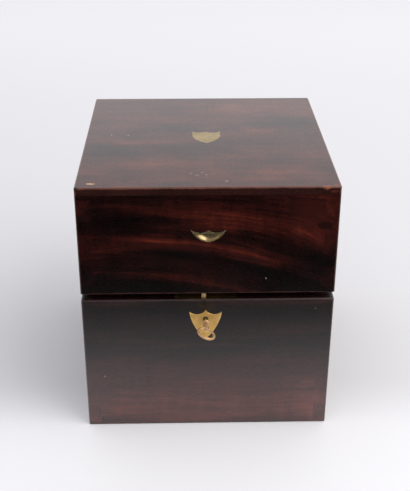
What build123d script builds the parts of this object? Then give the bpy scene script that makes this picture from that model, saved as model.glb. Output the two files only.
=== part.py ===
from build123d import *
import os
from math import radians, sqrt, tan

os.makedirs("parts", exist_ok=True)

# A square mahogany liqueur cabinet: a dovetailed box with a deep hinged lid, a lock with its key, and
# four square decanters in a divided, baize lined inside. Millimetres, X to the right seen from the
# front, Y to the back, Z up. The origin is the middle of the underside. The lid stands a little ajar.

# Outside of the box
case_width = 252.0  # over the side boards
case_depth = 268.0  # over the front and back boards
base_height = 155.0  # underside to the rim
lid_height = 114.5  # rim of the lid to its top
wall = 13.5  # thickness of the eight upright boards
bottom_thick = 8.0
top_thick = 8.0
rebate = 5.0  # how far the bottom board reaches under each wall
seam = 0.25  # gap between the rims with the lid shut
corner_round = 1.6  # worn upright corners
arris_worn = 0.9  # worn edges at the rims, top and foot

# How the lid swings, in degrees
lid_ajar = 1.4  # how far it is open as the box stands
lid_stop = 95.0  # open from shut, where the chamfered back edges meet
stop_play = 1.0  # angle left between those chamfers at the stop

# Dovetails, measured on the front face
tail_slope = 1 / 6  # sideways per length
base_tails = 4
base_tail = 21.4
base_low_pin = 3.6
base_high_pin = 4.9
lid_tails = 3
lid_tail = 22.0
lid_low_pin = 7.2
lid_high_pin = 4.7

# Butt hinges let into the two back rims
hinge_inset = 3.6  # axis inside the back face
hinge_from_side = 56.0  # middle of each hinge from the side of the box
hinge_long = 38.0
knuckles = 3
knuckle_radius = 3.0
knuckle_play = 0.15  # end gap at each side of a knuckle joint
leaf_thick = 1.6
leaf_reach = 9.4  # front edge of a leaf from the axis
hinge_pin_radius = 1.3
pin_play = 0.05  # running clearance round a pin
swing_room = 0.25  # clearance round the knuckles
hinge_screw_at = 12.5  # from the middle of the hinge

# Countersunk wood screws
screw_shank = 1.1
screw_head = 2.3
screw_long = 10.0
screw_play = 0.05
small_sides = 12  # flats that stand for the round of a screw or stud this small

# Lock, with depths behind the front face and drops below the rim
lock_x = -2.2  # key axis from the middle of the box
lock_drop = 22.4  # key axis below the rim
wood_skin = 3.2  # wood left in front of the lock
case_play = 0.2
cap_thick = 0.8
case_wall = 1.0
case_half = 25.4
case_drop = 33.0
lock_plate_thick = 1.5
lock_plate_half = 31.0
lock_plate_drop = 36.0
selvedge_thick = 1.6
selvedge_front = 2.6
lock_screw_x = 28.2
lock_screw_drop = 22.0
selvedge_screw_depth = 7.2

# Key and its drill pin
drill_pin_radius = 1.1
drill_pin_tip = 1.2  # depth of its front end
key_rest = 69.0  # turned this far from where it goes in, anticlockwise from the front
key_turn = 360.0  # a full turn throws the bolt
barrel_radius = 2.3
barrel_tip = 11.0  # depth of the barrel's inner end
barrel_out = 3.0  # barrel in front of the face
tang_radius = 1.6
tang_long = 8.0
bit_thick = 2.2
bit_reach = 6.6  # from the axis
bit_front = 5.0
bit_back = 10.8
ward_cut = 1.2
collar_radius = 3.6
collar_long = 2.0
shank_radius = 3.1
shank_long = 14.2
shank_taper = 0.6  # how much thinner it is at the bow
bow_across = 19.4
bow_wire = 3.2
bow_bevel = 0.9
keyhole_eye = 2.8
keyhole_slot = 3.2
keyhole_reach = 7.2

# Bolt, seen from the front about the key axis with the bolt fully withdrawn
bolt_throw = 6.4
bolt_front = 6.1  # depth of its front face
bolt_thick = 2.2
bolt_left = -17.0
bolt_right = 20.0
bar_top = 10.4  # drops below the rim
bar_foot = 14.9
nose_top = 4.9
nose_foot = 7.2
nose_tip = 2.0  # from the key axis
post_left = 9.5
post_wide = 4.0
notch_left = -0.8  # where the bit works
notch_right = 7.2
talon_wide = 4.0
talon_foot = 17.1
stud_radius = 1.0
stud_shoulder = 1.8
left_stud = -14.4  # from the key axis
right_stud = 10.4
stud_drop = 12.7
slot_play = 0.05
slot_end = 0.4
spring_thick = 0.8
spring_wide = 3.0
spring_play = 0.15
spring_drop = 1.4  # under the selvedge
spring_foot_high = 3.0
spring_bend = 8.0  # where it leaves the case's top, from the case wall
spring_short = 12.0  # its tip from the bolt's post

# Link plate under the lid, with the staple that the bolt holds
staple_x = -4.0
staple_wide = 4.4
staple_front = 4.6  # depths
staple_back = 9.8
staple_drop = 9.8  # below the base rim with the lid shut
staple_eye_front = 5.8
staple_eye_back = 8.6
staple_eye_top = 4.2
staple_eye_foot = 8.0
staple_room = 0.45  # round the staple in the selvedge
link_thick = 1.6
link_half = 16.0
link_front = 3.0
link_back = 12.0
link_screw_x = 12.0

# Shields: width, tips to point, dip of the two upper arcs below the tips, peak between them above the
# tips, straight side below each tip, and how far out and down a point of the lower curve lies
cartouche_width = 29.6
cartouche_long = 35.5
cartouche_dip = 4.4
cartouche_peak = -1.4
cartouche_cheek = 14.0
cartouche_belly_out = 10.6
cartouche_belly_down = 26.0
escutcheon_width = 32.3
escutcheon_long = 33.0
escutcheon_dip = 3.2
escutcheon_peak = 1.9
escutcheon_cheek = 3.0
escutcheon_belly_out = 12.4
escutcheon_belly_down = 15.0
pull_width = 34.8
pull_long = 14.0
pull_dip = 3.7
pull_peak = -0.9
pull_belly_out = 11.4
pull_belly_down = 8.7
cartouche_x = 1.6
cartouche_tips = 19.2  # tips behind the middle of the top
cartouche_thick = 1.2
escutcheon_drop = 13.9  # tips below the rim
escutcheon_thick = 1.7
escutcheon_let_in = 1.0
escutcheon_bevel = 0.6
pull_x = 0.4
pull_drop = 43.6  # tips below the top of the lid
pull_thick = 8.2
pull_lip = 0.5  # metal left round the scoop
ledge_drop = 5.0  # the scoop's flat upper edge below the tips
scoop_deep = 5.4  # under that edge
scoop_end = 3.4  # from a tip in to the end of that edge

# Inside
baize = 2.0
side_lining = 4.0
end_lining = 8.0  # front and back; the front one covers the lock
lining_drop = 4.0  # below the rim
divider = 5.0
divider_height = 84.0
divider_play = 0.1

# Square decanters with a hipped shoulder, from the foot up
cell_play = 2.5  # least room on each side of a decanter
decanter_height = 184.0
decanter_corner = 6.0  # bevel cut along each upright corner
foot_bevel = 1.5
glass_wall = 6.0
glass_foot = 8.0
hip_rise = 22.0  # the steep lower part of the shoulder
hip_in = 9.5
hip_corner = 14.0
crown_rise = 17.0  # the flatter part up to the neck
crown_half = 19.0
neck_cone = 4.0
neck_radius = 15.0
neck_long = 14.0
lip_flare = 3.5
lip_band = 3.5
lip_bevel = 2.0
lip_radius = 20.0
bore_long = 24.0  # the ground part of the mouth
bore_foot_radius = 9.5
bore_mouth_radius = 10.5
standing_gap = 0.2

# Ground stoppers, with heights above the lip
plug_long = 20.0
stopper_gap = 0.3  # under the flange
flange_radius = 14.0
flange_thick = 2.4
facet_count = 8
stem_radius = 9.5
knob_low = 13.0
knob_high = 23.0
knob_radius = 19.0
table_high = 38.0
table_radius = 7.0

front = -case_depth / 2
back = case_depth / 2
rim = base_height
lid_rim = rim + seam
lid_top = lid_rim + lid_height
lid_ceiling = lid_top - top_thick
hinge_y = back - hinge_inset
hinge_z = rim + seam / 2
hinge_line = Axis((0, hinge_y, hinge_z), (1, 0, 0))
lock_z = rim - lock_drop
key_line = Axis((lock_x, front, lock_z), (0, -1, 0))
on_floor = (Align.CENTER, Align.CENTER, Align.MIN)
hinge_at = case_width / 2 - hinge_from_side
stud_at = (left_stud, right_stud)
inner_x = case_width / 2 - wall
inner_y = case_depth / 2 - wall
sides = {"left": -1, "right": 1}


def front_plane(depth):
    """The plane this deep behind the front face, drawn on from the front."""
    return Plane.XZ.offset(-front - depth)


def cuboid(x, y, z, mode=Mode.ADD):
    """A block in the open part, from (low, high) along each axis."""
    middle = [(low + high) / 2 for low, high in (x, y, z)]
    with Locations(tuple(middle)):
        Box(x[1] - x[0], y[1] - y[0], z[1] - z[0], mode=mode)


def finished_block(low, high):
    """The outside of one half of the box, its corners and arrises worn round."""
    with BuildPart() as block:
        with BuildSketch(Plane.XY.offset(low)):
            RectangleRounded(case_width, case_depth, corner_round)
        extrude(amount=high - low)
        chamfer(block.faces().filter_by(Plane.XY).edges(), arris_worn)
    return block.part


def tail_edges(low, high, low_pin, high_pin, tail, count):
    """Height of the lower edge of each tail, with equal pins between the tails."""
    pin = (high - low - low_pin - high_pin - count * tail) / (count - 1)
    return [low + low_pin + step * (tail + pin) for step in range(count)]


def dovetails(side, edges, tail):
    """The tails at both ends of one side board, as prisms through its thickness."""
    flare = wall * tail_slope
    inside = side * inner_x
    with BuildPart() as tails:
        with BuildSketch(Plane.YZ.offset(min(inside, side * case_width / 2))):
            for end in (-1, 1):
                outer = end * case_depth / 2
                root = end * inner_y
                for low in edges:
                    with BuildLine():
                        Polyline(
                            (outer, low),
                            (outer, low + tail),
                            (root, low + tail - flare),
                            (root, low + flare),
                            close=True,
                        )
                    make_face()
        extrude(amount=wall)
    return tails.part


def shield(width, long, dip, peak, cheek, belly_out, belly_down):
    """A shield outline: tips level at zero, two hollow arcs above, curved to a point below."""
    with BuildSketch() as outline:
        with BuildLine():
            ThreePointArc((0, peak), (width / 4, -dip), (width / 2, 0))
            if cheek:
                Line((width / 2, 0), (width / 2, -cheek))
            ThreePointArc((width / 2, -cheek), (belly_out, -belly_down), (0, -long))
            mirror(about=Plane.YZ)
        make_face()
    return outline.sketch


def keyhole():
    """Round eye with a slot below it for the bit."""
    with BuildSketch() as hole:
        Circle(keyhole_eye)
        with Locations((0, -keyhole_reach / 2)):
            Rectangle(keyhole_slot, keyhole_reach)
    return hole.sketch


def wood_screw(play=0.0):
    """A countersunk screw pointing down from a head that lies level with zero."""
    sink = screw_head - screw_shank
    with BuildPart() as screw:
        with BuildSketch():
            RegularPolygon(screw_head + play, small_sides)
        with BuildSketch(Plane.XY.offset(-sink)):
            RegularPolygon(screw_shank + play, small_sides)
        loft(ruled=True)
        with BuildSketch(Plane.XY.offset(-sink)):
            RegularPolygon(screw_shank + play, small_sides)
        extrude(amount=sink - screw_long - play)
    return screw.part


def plate_screw_place(side):
    """Where the screw at one side of the lock plate goes in, from the inside of the box."""
    return Location((lock_x + side * lock_screw_x, front + wall, rim - lock_screw_drop), (-90, 0, 0))


def swung(piece):
    """A lid piece turned from shut to where the lid stands."""
    return piece.rotate(hinge_line, -lid_ajar)


screw = wood_screw()
screw_seat = wood_screw(screw_play)
cartouche_outline = shield(
    cartouche_width,
    cartouche_long,
    cartouche_dip,
    cartouche_peak,
    cartouche_cheek,
    cartouche_belly_out,
    cartouche_belly_down,
)
escutcheon_outline = shield(
    escutcheon_width,
    escutcheon_long,
    escutcheon_dip,
    escutcheon_peak,
    escutcheon_cheek,
    escutcheon_belly_out,
    escutcheon_belly_down,
)
pull_outline = shield(pull_width, pull_long, pull_dip, pull_peak, 0, pull_belly_out, pull_belly_down)

# Cutters that several boards share
base_block = finished_block(0, rim)
lid_block = finished_block(lid_rim, lid_top)
base_edges = tail_edges(0, rim, base_low_pin, base_high_pin, base_tail, base_tails)
lid_edges = tail_edges(lid_rim, lid_ceiling, lid_low_pin, lid_high_pin, lid_tail, lid_tails)
base_joints = {side: dovetails(side, base_edges, base_tail) for side in (-1, 1)}
lid_joints = {side: dovetails(side, lid_edges, lid_tail) for side in (-1, 1)}

# The back edges are chamfered up to the hinge axis, and the two chamfers stop the open lid
chamfer_angle = (lid_stop + stop_play) / 2
chamfer_run = 3 * hinge_inset
chamfer_fall = chamfer_run * tan(radians(chamfer_angle))
with BuildPart() as back_chamfers:
    with BuildSketch(Plane.YZ.offset(-case_width)):
        with BuildLine():
            Polyline(
                (hinge_y, hinge_z),
                (hinge_y + chamfer_run, hinge_z - chamfer_fall),
                (hinge_y + chamfer_run, hinge_z + chamfer_fall),
                close=True,
            )
        make_face()
    extrude(amount=2 * case_width)

# Hollows round the knuckles, cut from both back boards
with BuildPart() as knuckle_hollows:
    for side in (-1, 1):
        with BuildSketch(Plane.YZ.offset(side * hinge_at - hinge_long / 2 - swing_room)):
            with Locations((hinge_y, hinge_z)):
                Circle(knuckle_radius + swing_room)
        extrude(amount=hinge_long + 2 * swing_room)

hinge_screws_y = hinge_y - (leaf_reach + knuckle_radius + swing_room) / 2
hinge_screw_spots = [
    (side * hinge_at + step * hinge_screw_at, hinge_screws_y) for side in (-1, 1) for step in (-1, 1)
]

# Base box
for name, side in sides.items():
    with BuildPart() as base_side_board:
        cuboid(sorted((side * inner_x, side * case_width / 2)), (-inner_y, inner_y), (0, rim))
        add(base_joints[side])
        add(base_block, mode=Mode.INTERSECT)
        add(back_chamfers.part, mode=Mode.SUBTRACT)
        cuboid(
            (-inner_x - rebate, inner_x + rebate),
            (-inner_y - rebate, inner_y + rebate),
            (0, bottom_thick),
            mode=Mode.SUBTRACT,
        )
    base_side_board.part.label = f"base_{name}_board"
    export_step(base_side_board.part, f"parts/base_{name}_board.step")

with BuildPart() as base_bottom_board:
    with Locations((0, 0, 0)):
        Box(2 * (inner_x + rebate), 2 * (inner_y + rebate), bottom_thick, align=on_floor)
base_bottom_board.part.label = "base_bottom_board"
export_step(base_bottom_board.part, "parts/base_bottom_board.step")

plate_face = wall - lock_plate_thick  # depth of the lock plate's front
with BuildPart() as base_front_board:
    cuboid((-case_width / 2, case_width / 2), (front, -inner_y), (0, rim))
    for side in (-1, 1):
        add(base_joints[side], mode=Mode.SUBTRACT)
    add(base_block, mode=Mode.INTERSECT)
    add(base_bottom_board.part, mode=Mode.SUBTRACT)
    # Mortise for the lock case, and shallow beds for its plate and selvedge
    cuboid(
        (lock_x - case_half - case_play, lock_x + case_half + case_play),
        (front + wood_skin, front + wall),
        (rim - case_drop - case_play, rim),
        mode=Mode.SUBTRACT,
    )
    cuboid(
        (lock_x - lock_plate_half, lock_x + lock_plate_half),
        (front + plate_face, front + wall),
        (rim - lock_plate_drop, rim),
        mode=Mode.SUBTRACT,
    )
    cuboid(
        (lock_x - lock_plate_half, lock_x + lock_plate_half),
        (front + selvedge_front, front + wall),
        (rim - selvedge_thick, rim),
        mode=Mode.SUBTRACT,
    )
    with BuildSketch(front_plane(0)):
        with Locations((lock_x, lock_z)):
            add(keyhole())
    extrude(amount=-wood_skin, mode=Mode.SUBTRACT)
    with BuildSketch(front_plane(0)):
        with Locations((lock_x, rim - escutcheon_drop)):
            add(escutcheon_outline)
    extrude(amount=-escutcheon_let_in, mode=Mode.SUBTRACT)
    for side in (-1, 1):
        with Locations((lock_x + side * lock_screw_x, front + selvedge_screw_depth, rim)):
            add(screw_seat, mode=Mode.SUBTRACT)
        with Locations(plate_screw_place(side)):
            add(screw_seat, mode=Mode.SUBTRACT)
base_front_board.part.label = "base_front_board"
export_step(base_front_board.part, "parts/base_front_board.step")

with BuildPart() as base_back_board:
    cuboid((-case_width / 2, case_width / 2), (inner_y, back), (0, rim))
    for side in (-1, 1):
        add(base_joints[side], mode=Mode.SUBTRACT)
    add(base_block, mode=Mode.INTERSECT)
    add(base_bottom_board.part, mode=Mode.SUBTRACT)
    add(back_chamfers.part, mode=Mode.SUBTRACT)
    add(knuckle_hollows.part, mode=Mode.SUBTRACT)
    for side in (-1, 1):
        cuboid(
            (side * hinge_at - hinge_long / 2, side * hinge_at + hinge_long / 2),
            (hinge_y - leaf_reach, hinge_y),
            (rim - leaf_thick, rim),
            mode=Mode.SUBTRACT,
        )
    for x, y in hinge_screw_spots:
        with Locations((x, y, rim)):
            add(screw_seat, mode=Mode.SUBTRACT)
base_back_board.part.label = "base_back_board"
export_step(base_back_board.part, "parts/base_back_board.step")

# Lid box
for name, side in sides.items():
    with BuildPart() as lid_side_board:
        cuboid(sorted((side * inner_x, side * case_width / 2)), (-inner_y, inner_y), (lid_rim, lid_ceiling))
        add(lid_joints[side])
        add(lid_block, mode=Mode.INTERSECT)
        add(back_chamfers.part, mode=Mode.SUBTRACT)
    lid_side_board.part = swung(lid_side_board.part)
    lid_side_board.part.label = f"lid_{name}_board"
    export_step(lid_side_board.part, f"parts/lid_{name}_board.step")

with BuildPart() as lid_top_board:
    cuboid((-case_width / 2, case_width / 2), (front, back), (lid_ceiling, lid_top))
    add(lid_block, mode=Mode.INTERSECT)
    with BuildSketch(Plane.XY.offset(lid_top)):
        with Locations((cartouche_x, cartouche_tips)):
            add(cartouche_outline)
    extrude(amount=-cartouche_thick, mode=Mode.SUBTRACT)
lid_top_board.part = swung(lid_top_board.part)
lid_top_board.part.label = "lid_top_board"
export_step(lid_top_board.part, "parts/lid_top_board.step")

with BuildPart() as top_cartouche:
    with BuildSketch(Plane.XY.offset(lid_top)):
        with Locations((cartouche_x, cartouche_tips)):
            add(cartouche_outline)
    extrude(amount=-cartouche_thick)
top_cartouche.part = swung(top_cartouche.part)
top_cartouche.part.label = "top_cartouche"
export_step(top_cartouche.part, "parts/top_cartouche.step")

pull_z = lid_top - pull_drop
with BuildPart() as lid_front_board:
    cuboid((-case_width / 2, case_width / 2), (front, -inner_y), (lid_rim, lid_ceiling))
    for side in (-1, 1):
        add(lid_joints[side], mode=Mode.SUBTRACT)
    add(lid_block, mode=Mode.INTERSECT)
    with BuildSketch(front_plane(0)):
        with Locations((pull_x, pull_z)):
            add(pull_outline)
    extrude(amount=-pull_thick, mode=Mode.SUBTRACT)
    cuboid(
        (staple_x - link_half, staple_x + link_half),
        (front + link_front, front + link_back),
        (lid_rim, lid_rim + link_thick),
        mode=Mode.SUBTRACT,
    )
    for side in (-1, 1):
        spot = (staple_x + side * link_screw_x, front + (link_front + link_back) / 2, lid_rim)
        with Locations(Location(spot, (180, 0, 0))):
            add(screw_seat, mode=Mode.SUBTRACT)
lid_front_board.part = swung(lid_front_board.part)
lid_front_board.part.label = "lid_front_board"
export_step(lid_front_board.part, "parts/lid_front_board.step")

with BuildPart() as lid_back_board:
    cuboid((-case_width / 2, case_width / 2), (inner_y, back), (lid_rim, lid_ceiling))
    for side in (-1, 1):
        add(lid_joints[side], mode=Mode.SUBTRACT)
    add(lid_block, mode=Mode.INTERSECT)
    add(back_chamfers.part, mode=Mode.SUBTRACT)
    add(knuckle_hollows.part, mode=Mode.SUBTRACT)
    for side in (-1, 1):
        cuboid(
            (side * hinge_at - hinge_long / 2, side * hinge_at + hinge_long / 2),
            (hinge_y - leaf_reach, hinge_y),
            (lid_rim, lid_rim + leaf_thick),
            mode=Mode.SUBTRACT,
        )
    for x, y in hinge_screw_spots:
        with Locations(Location((x, y, lid_rim), (180, 0, 0))):
            add(screw_seat, mode=Mode.SUBTRACT)
lid_back_board.part = swung(lid_back_board.part)
lid_back_board.part.label = "lid_back_board"
export_step(lid_back_board.part, "parts/lid_back_board.step")

# Finger pull: a thick brass shield with a scoop that is deepest under its flat upper edge
scoop_half = pull_width / 2 - scoop_end
scoop_high = pull_long - pull_lip - ledge_drop
scoop_belly = (pull_belly_out - pull_lip, ledge_drop + pull_lip - pull_belly_down)
with BuildPart() as scoop:
    with BuildSketch(Plane.XZ):
        with BuildLine():
            ThreePointArc((scoop_half, 0), scoop_belly, (0, -scoop_high))
            ThreePointArc((0, -scoop_high), (-scoop_belly[0], scoop_belly[1]), (-scoop_half, 0))
            Line((-scoop_half, 0), (scoop_half, 0))
        make_face()
    revolve(axis=Axis.X)
    scale(by=(1, scoop_deep / scoop_high, 1))
    cuboid((-pull_width, pull_width), (-pull_long, pull_long), (0, pull_long), mode=Mode.SUBTRACT)
with BuildPart() as finger_pull:
    with BuildSketch(front_plane(0)):
        with Locations((pull_x, pull_z)):
            add(pull_outline)
    extrude(amount=-pull_thick)
    with Locations((pull_x, front, pull_z - ledge_drop)):
        add(scoop.part, mode=Mode.SUBTRACT)
finger_pull.part = swung(finger_pull.part)
finger_pull.part.label = "finger_pull"
export_step(finger_pull.part, "parts/finger_pull.step")

# Escutcheon, standing a little proud with bevelled edges
with BuildPart() as escutcheon:
    with BuildSketch(front_plane(escutcheon_let_in)):
        with Locations((lock_x, rim - escutcheon_drop)):
            add(escutcheon_outline)
    extrude(amount=escutcheon_thick)
    chamfer(escutcheon.faces().sort_by(Axis.Y)[0].edges(), escutcheon_bevel)
    with BuildSketch(front_plane(escutcheon_let_in)):
        with Locations((lock_x, lock_z)):
            add(keyhole())
    extrude(amount=escutcheon_thick, mode=Mode.SUBTRACT)
escutcheon.part.label = "escutcheon"
export_step(escutcheon.part, "parts/escutcheon.step")

# Hinges: odd knuckles belong to the base leaf, even ones to the lid leaf
knuckle_long = hinge_long / knuckles


def hinge_leaf(side, low, first):
    """One leaf with its own knuckles, relieved opposite the other leaf's."""
    start = side * hinge_at - hinge_long / 2
    with BuildPart() as leaf:
        cuboid(
            (start, start + hinge_long),
            (hinge_y - leaf_reach, hinge_y - knuckle_radius - swing_room),
            (low, low + leaf_thick),
        )
        for turn in range(first, knuckles, 2):
            left = start + turn * knuckle_long + (knuckle_play / 2 if turn else 0)
            right = start + (turn + 1) * knuckle_long - (knuckle_play / 2 if turn < knuckles - 1 else 0)
            cuboid((left, right), (hinge_y - leaf_reach, hinge_y), (low, low + leaf_thick))
            with BuildSketch(Plane.YZ.offset(left)):
                with Locations((hinge_y, hinge_z)):
                    Circle(knuckle_radius)
            extrude(amount=right - left)
        with BuildSketch(Plane.YZ.offset(start)):
            with Locations((hinge_y, hinge_z)):
                Circle(hinge_pin_radius + pin_play)
        extrude(amount=hinge_long, mode=Mode.SUBTRACT)
    return leaf.part


for name, side in sides.items():
    with BuildPart() as base_hinge_leaf:
        add(hinge_leaf(side, rim - leaf_thick, 0))
        for x, y in hinge_screw_spots:
            with Locations((x, y, rim)):
                add(screw_seat, mode=Mode.SUBTRACT)
    base_hinge_leaf.part.label = f"base_hinge_leaf_{name}"
    export_step(base_hinge_leaf.part, f"parts/base_hinge_leaf_{name}.step")

    with BuildPart() as lid_hinge_leaf:
        add(hinge_leaf(side, lid_rim, 1))
        for x, y in hinge_screw_spots:
            with Locations(Location((x, y, lid_rim), (180, 0, 0))):
                add(screw_seat, mode=Mode.SUBTRACT)
    lid_hinge_leaf.part = swung(lid_hinge_leaf.part)
    lid_hinge_leaf.part.label = f"lid_hinge_leaf_{name}"
    export_step(lid_hinge_leaf.part, f"parts/lid_hinge_leaf_{name}.step")

with BuildPart() as hinge_pins:
    for side in (-1, 1):
        with BuildSketch(Plane.YZ.offset(side * hinge_at - hinge_long / 2)):
            with Locations((hinge_y, hinge_z)):
                Circle(hinge_pin_radius)
        extrude(amount=hinge_long)
hinge_pins.part.label = "hinge_pins"
export_step(hinge_pins.part, "parts/hinge_pins.step")

with BuildPart() as base_hinge_screws:
    for x, y in hinge_screw_spots:
        with Locations((x, y, rim)):
            add(screw)
base_hinge_screws.part.label = "base_hinge_screws"
export_step(base_hinge_screws.part, "parts/base_hinge_screws.step")

with BuildPart() as lid_hinge_screws:
    for x, y in hinge_screw_spots:
        with Locations(Location((x, y, lid_rim), (180, 0, 0))):
            add(screw)
lid_hinge_screws.part = swung(lid_hinge_screws.part)
lid_hinge_screws.part.label = "lid_hinge_screws"
export_step(lid_hinge_screws.part, "parts/lid_hinge_screws.step")

# Lock case: a shallow brass tray with the key hole in its cap, open at the top and back
cap_face = wood_skin + case_play
with BuildPart() as lock_case:
    cuboid(
        (lock_x - case_half, lock_x + case_half),
        (front + cap_face, front + plate_face),
        (rim - case_drop, rim - selvedge_thick),
    )
    cuboid(
        (lock_x - case_half + case_wall, lock_x + case_half - case_wall),
        (front + cap_face + cap_thick, front + plate_face),
        (rim - case_drop + case_wall, rim - selvedge_thick),
        mode=Mode.SUBTRACT,
    )
    with BuildSketch(front_plane(cap_face)):
        with Locations((lock_x, lock_z)):
            add(keyhole())
    extrude(amount=-cap_thick, mode=Mode.SUBTRACT)
lock_case.part.label = "lock_case"
export_step(lock_case.part, "parts/lock_case.step")

with BuildPart() as lock_plate:
    cuboid(
        (lock_x - lock_plate_half, lock_x + lock_plate_half),
        (front + plate_face, front + wall),
        (rim - lock_plate_drop, rim - selvedge_thick),
    )
    for side in (-1, 1):
        with Locations(plate_screw_place(side)):
            add(screw_seat, mode=Mode.SUBTRACT)
    with BuildSketch(front_plane(plate_face)):
        with Locations((lock_x, lock_z)):
            Circle(drill_pin_radius)
        for x in stud_at:
            with Locations((lock_x + x, rim - stud_drop)):
                RegularPolygon(stud_radius, small_sides)
    extrude(amount=-lock_plate_thick, mode=Mode.SUBTRACT)
lock_plate.part.label = "lock_plate"
export_step(lock_plate.part, "parts/lock_plate.step")

with BuildPart() as lock_selvedge:
    cuboid(
        (lock_x - lock_plate_half, lock_x + lock_plate_half),
        (front + selvedge_front, front + wall),
        (rim - selvedge_thick, rim),
    )
    cuboid(
        (staple_x - staple_wide / 2 - staple_room, staple_x + staple_wide / 2 + staple_room),
        (front + staple_front - staple_room, front + staple_back + staple_room),
        (rim - selvedge_thick, rim),
        mode=Mode.SUBTRACT,
    )
    for side in (-1, 1):
        with Locations((lock_x + side * lock_screw_x, front + selvedge_screw_depth, rim)):
            add(screw_seat, mode=Mode.SUBTRACT)
lock_selvedge.part.label = "lock_selvedge"
export_step(lock_selvedge.part, "parts/lock_selvedge.step")

with BuildPart() as lock_screws:
    for side in (-1, 1):
        with Locations((lock_x + side * lock_screw_x, front + selvedge_screw_depth, rim)):
            add(screw)
        with Locations(plate_screw_place(side)):
            add(screw)
lock_screws.part.label = "lock_screws"
export_step(lock_screws.part, "parts/lock_screws.step")

with BuildPart() as drill_pin:
    with BuildSketch(front_plane(drill_pin_tip)):
        with Locations((lock_x, lock_z)):
            Circle(drill_pin_radius)
    extrude(amount=drill_pin_tip - wall)
drill_pin.part.label = "drill_pin"
export_step(drill_pin.part, "parts/drill_pin.step")

# Two shouldered studs carry the bolt in its slots
bolt_back = bolt_front + bolt_thick
with BuildPart() as bolt_studs:
    for x in stud_at:
        with BuildSketch(front_plane(bolt_front - slot_play)):
            with Locations((lock_x + x, rim - stud_drop)):
                RegularPolygon(stud_radius, small_sides)
        extrude(amount=bolt_front - slot_play - wall)
        with BuildSketch(front_plane(bolt_back + slot_play)):
            with Locations((lock_x + x, rim - stud_drop)):
                RegularPolygon(stud_shoulder, small_sides)
        extrude(amount=bolt_back + slot_play - plate_face)
bolt_studs.part.label = "bolt_studs"
export_step(bolt_studs.part, "parts/bolt_studs.step")

# The bolt: a bar on two studs, a hooked nose above it and two talons below it for the key
bolt_shift = bolt_throw * key_rest / key_turn
bolt_origin = (lock_x - bolt_shift, rim)
slot_long = bolt_throw + 2 * (stud_radius + slot_end)
with BuildPart() as lock_bolt:
    with BuildSketch(front_plane(bolt_front)):
        with Locations(bolt_origin):
            with Locations(((bolt_left + bolt_right) / 2, -(bar_top + bar_foot) / 2)):
                Rectangle(bolt_right - bolt_left, bar_foot - bar_top)
            with Locations((post_left + post_wide / 2, -(nose_top + bar_top) / 2)):
                Rectangle(post_wide, bar_top - nose_top)
            with Locations(((nose_tip + post_left) / 2, -(nose_top + nose_foot) / 2)):
                Rectangle(post_left - nose_tip, nose_foot - nose_top)
            for middle in (notch_left - talon_wide / 2, notch_right + talon_wide / 2):
                with Locations((middle, -(bar_foot + talon_foot) / 2)):
                    Rectangle(talon_wide, talon_foot - bar_foot)
            for x in stud_at:
                with Locations((x + bolt_throw / 2, -stud_drop)):
                    SlotOverall(slot_long, 2 * (stud_radius + slot_play), mode=Mode.SUBTRACT)
    extrude(amount=-bolt_thick)
    nose_end = lock_bolt.edges().filter_by(Axis.Y).filter_by_position(
        Axis.Z, rim - nose_foot - 0.01, rim - nose_top + 0.01
    )
    fillet(nose_end.sort_by(Axis.X)[:2], (nose_foot - nose_top) / 3)
lock_bolt.part.label = "lock_bolt"
export_step(lock_bolt.part, "parts/lock_bolt.step")

# Leaf spring on the case wall, its tip resting just above the bolt
spring_root = lock_x - case_half + case_wall
spring_foot = rim - bar_top + spring_play
spring_head = rim - selvedge_thick - spring_drop
spring_middle = (spring_head + spring_foot) / 2
spring_tip = lock_x + post_left - bolt_throw - spring_short
with BuildPart() as lock_spring:
    with BuildSketch(front_plane(bolt_front + (bolt_thick - spring_wide) / 2)):
        with BuildLine():
            Polyline(
                (spring_root, spring_head - spring_foot_high),
                (spring_root, spring_head),
                (spring_root + spring_bend / 4, spring_head),
            )
            ThreePointArc(
                (spring_root + spring_bend / 4, spring_head),
                (spring_root + spring_bend, spring_middle + spring_thick * 3 / 4),
                (spring_tip, spring_foot + spring_thick),
            )
            Line((spring_tip, spring_foot + spring_thick), (spring_tip, spring_foot))
            ThreePointArc(
                (spring_tip, spring_foot),
                (spring_root + spring_bend, spring_middle - spring_thick / 2),
                (spring_root, spring_head - spring_foot_high),
            )
        make_face()
    extrude(amount=-spring_wide)
lock_spring.part.label = "lock_spring"
export_step(lock_spring.part, "parts/lock_spring.step")

# Link plate in the lid rim, its staple hanging into the lock
with BuildPart() as link_plate:
    cuboid(
        (staple_x - link_half, staple_x + link_half),
        (front + link_front, front + link_back),
        (lid_rim, lid_rim + link_thick),
    )
    cuboid(
        (staple_x - staple_wide / 2, staple_x + staple_wide / 2),
        (front + staple_front, front + staple_back),
        (rim - staple_drop, lid_rim),
    )
    fillet(link_plate.edges().filter_by(Axis.X).group_by(Axis.Z)[0], (staple_drop - staple_eye_foot) / 2)
    cuboid(
        (staple_x - staple_wide / 2, staple_x + staple_wide / 2),
        (front + staple_eye_front, front + staple_eye_back),
        (rim - staple_eye_foot, rim - staple_eye_top),
        mode=Mode.SUBTRACT,
    )
    for side in (-1, 1):
        spot = (staple_x + side * link_screw_x, front + (link_front + link_back) / 2, lid_rim)
        with Locations(Location(spot, (180, 0, 0))):
            add(screw_seat, mode=Mode.SUBTRACT)
link_plate.part = swung(link_plate.part)
link_plate.part.label = "link_plate"
export_step(link_plate.part, "parts/link_plate.step")

with BuildPart() as link_screws:
    for side in (-1, 1):
        spot = (staple_x + side * link_screw_x, front + (link_front + link_back) / 2, lid_rim)
        with Locations(Location(spot, (180, 0, 0))):
            add(screw)
link_screws.part = swung(link_screws.part)
link_screws.part.label = "link_screws"
export_step(link_screws.part, "parts/link_screws.step")

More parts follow.
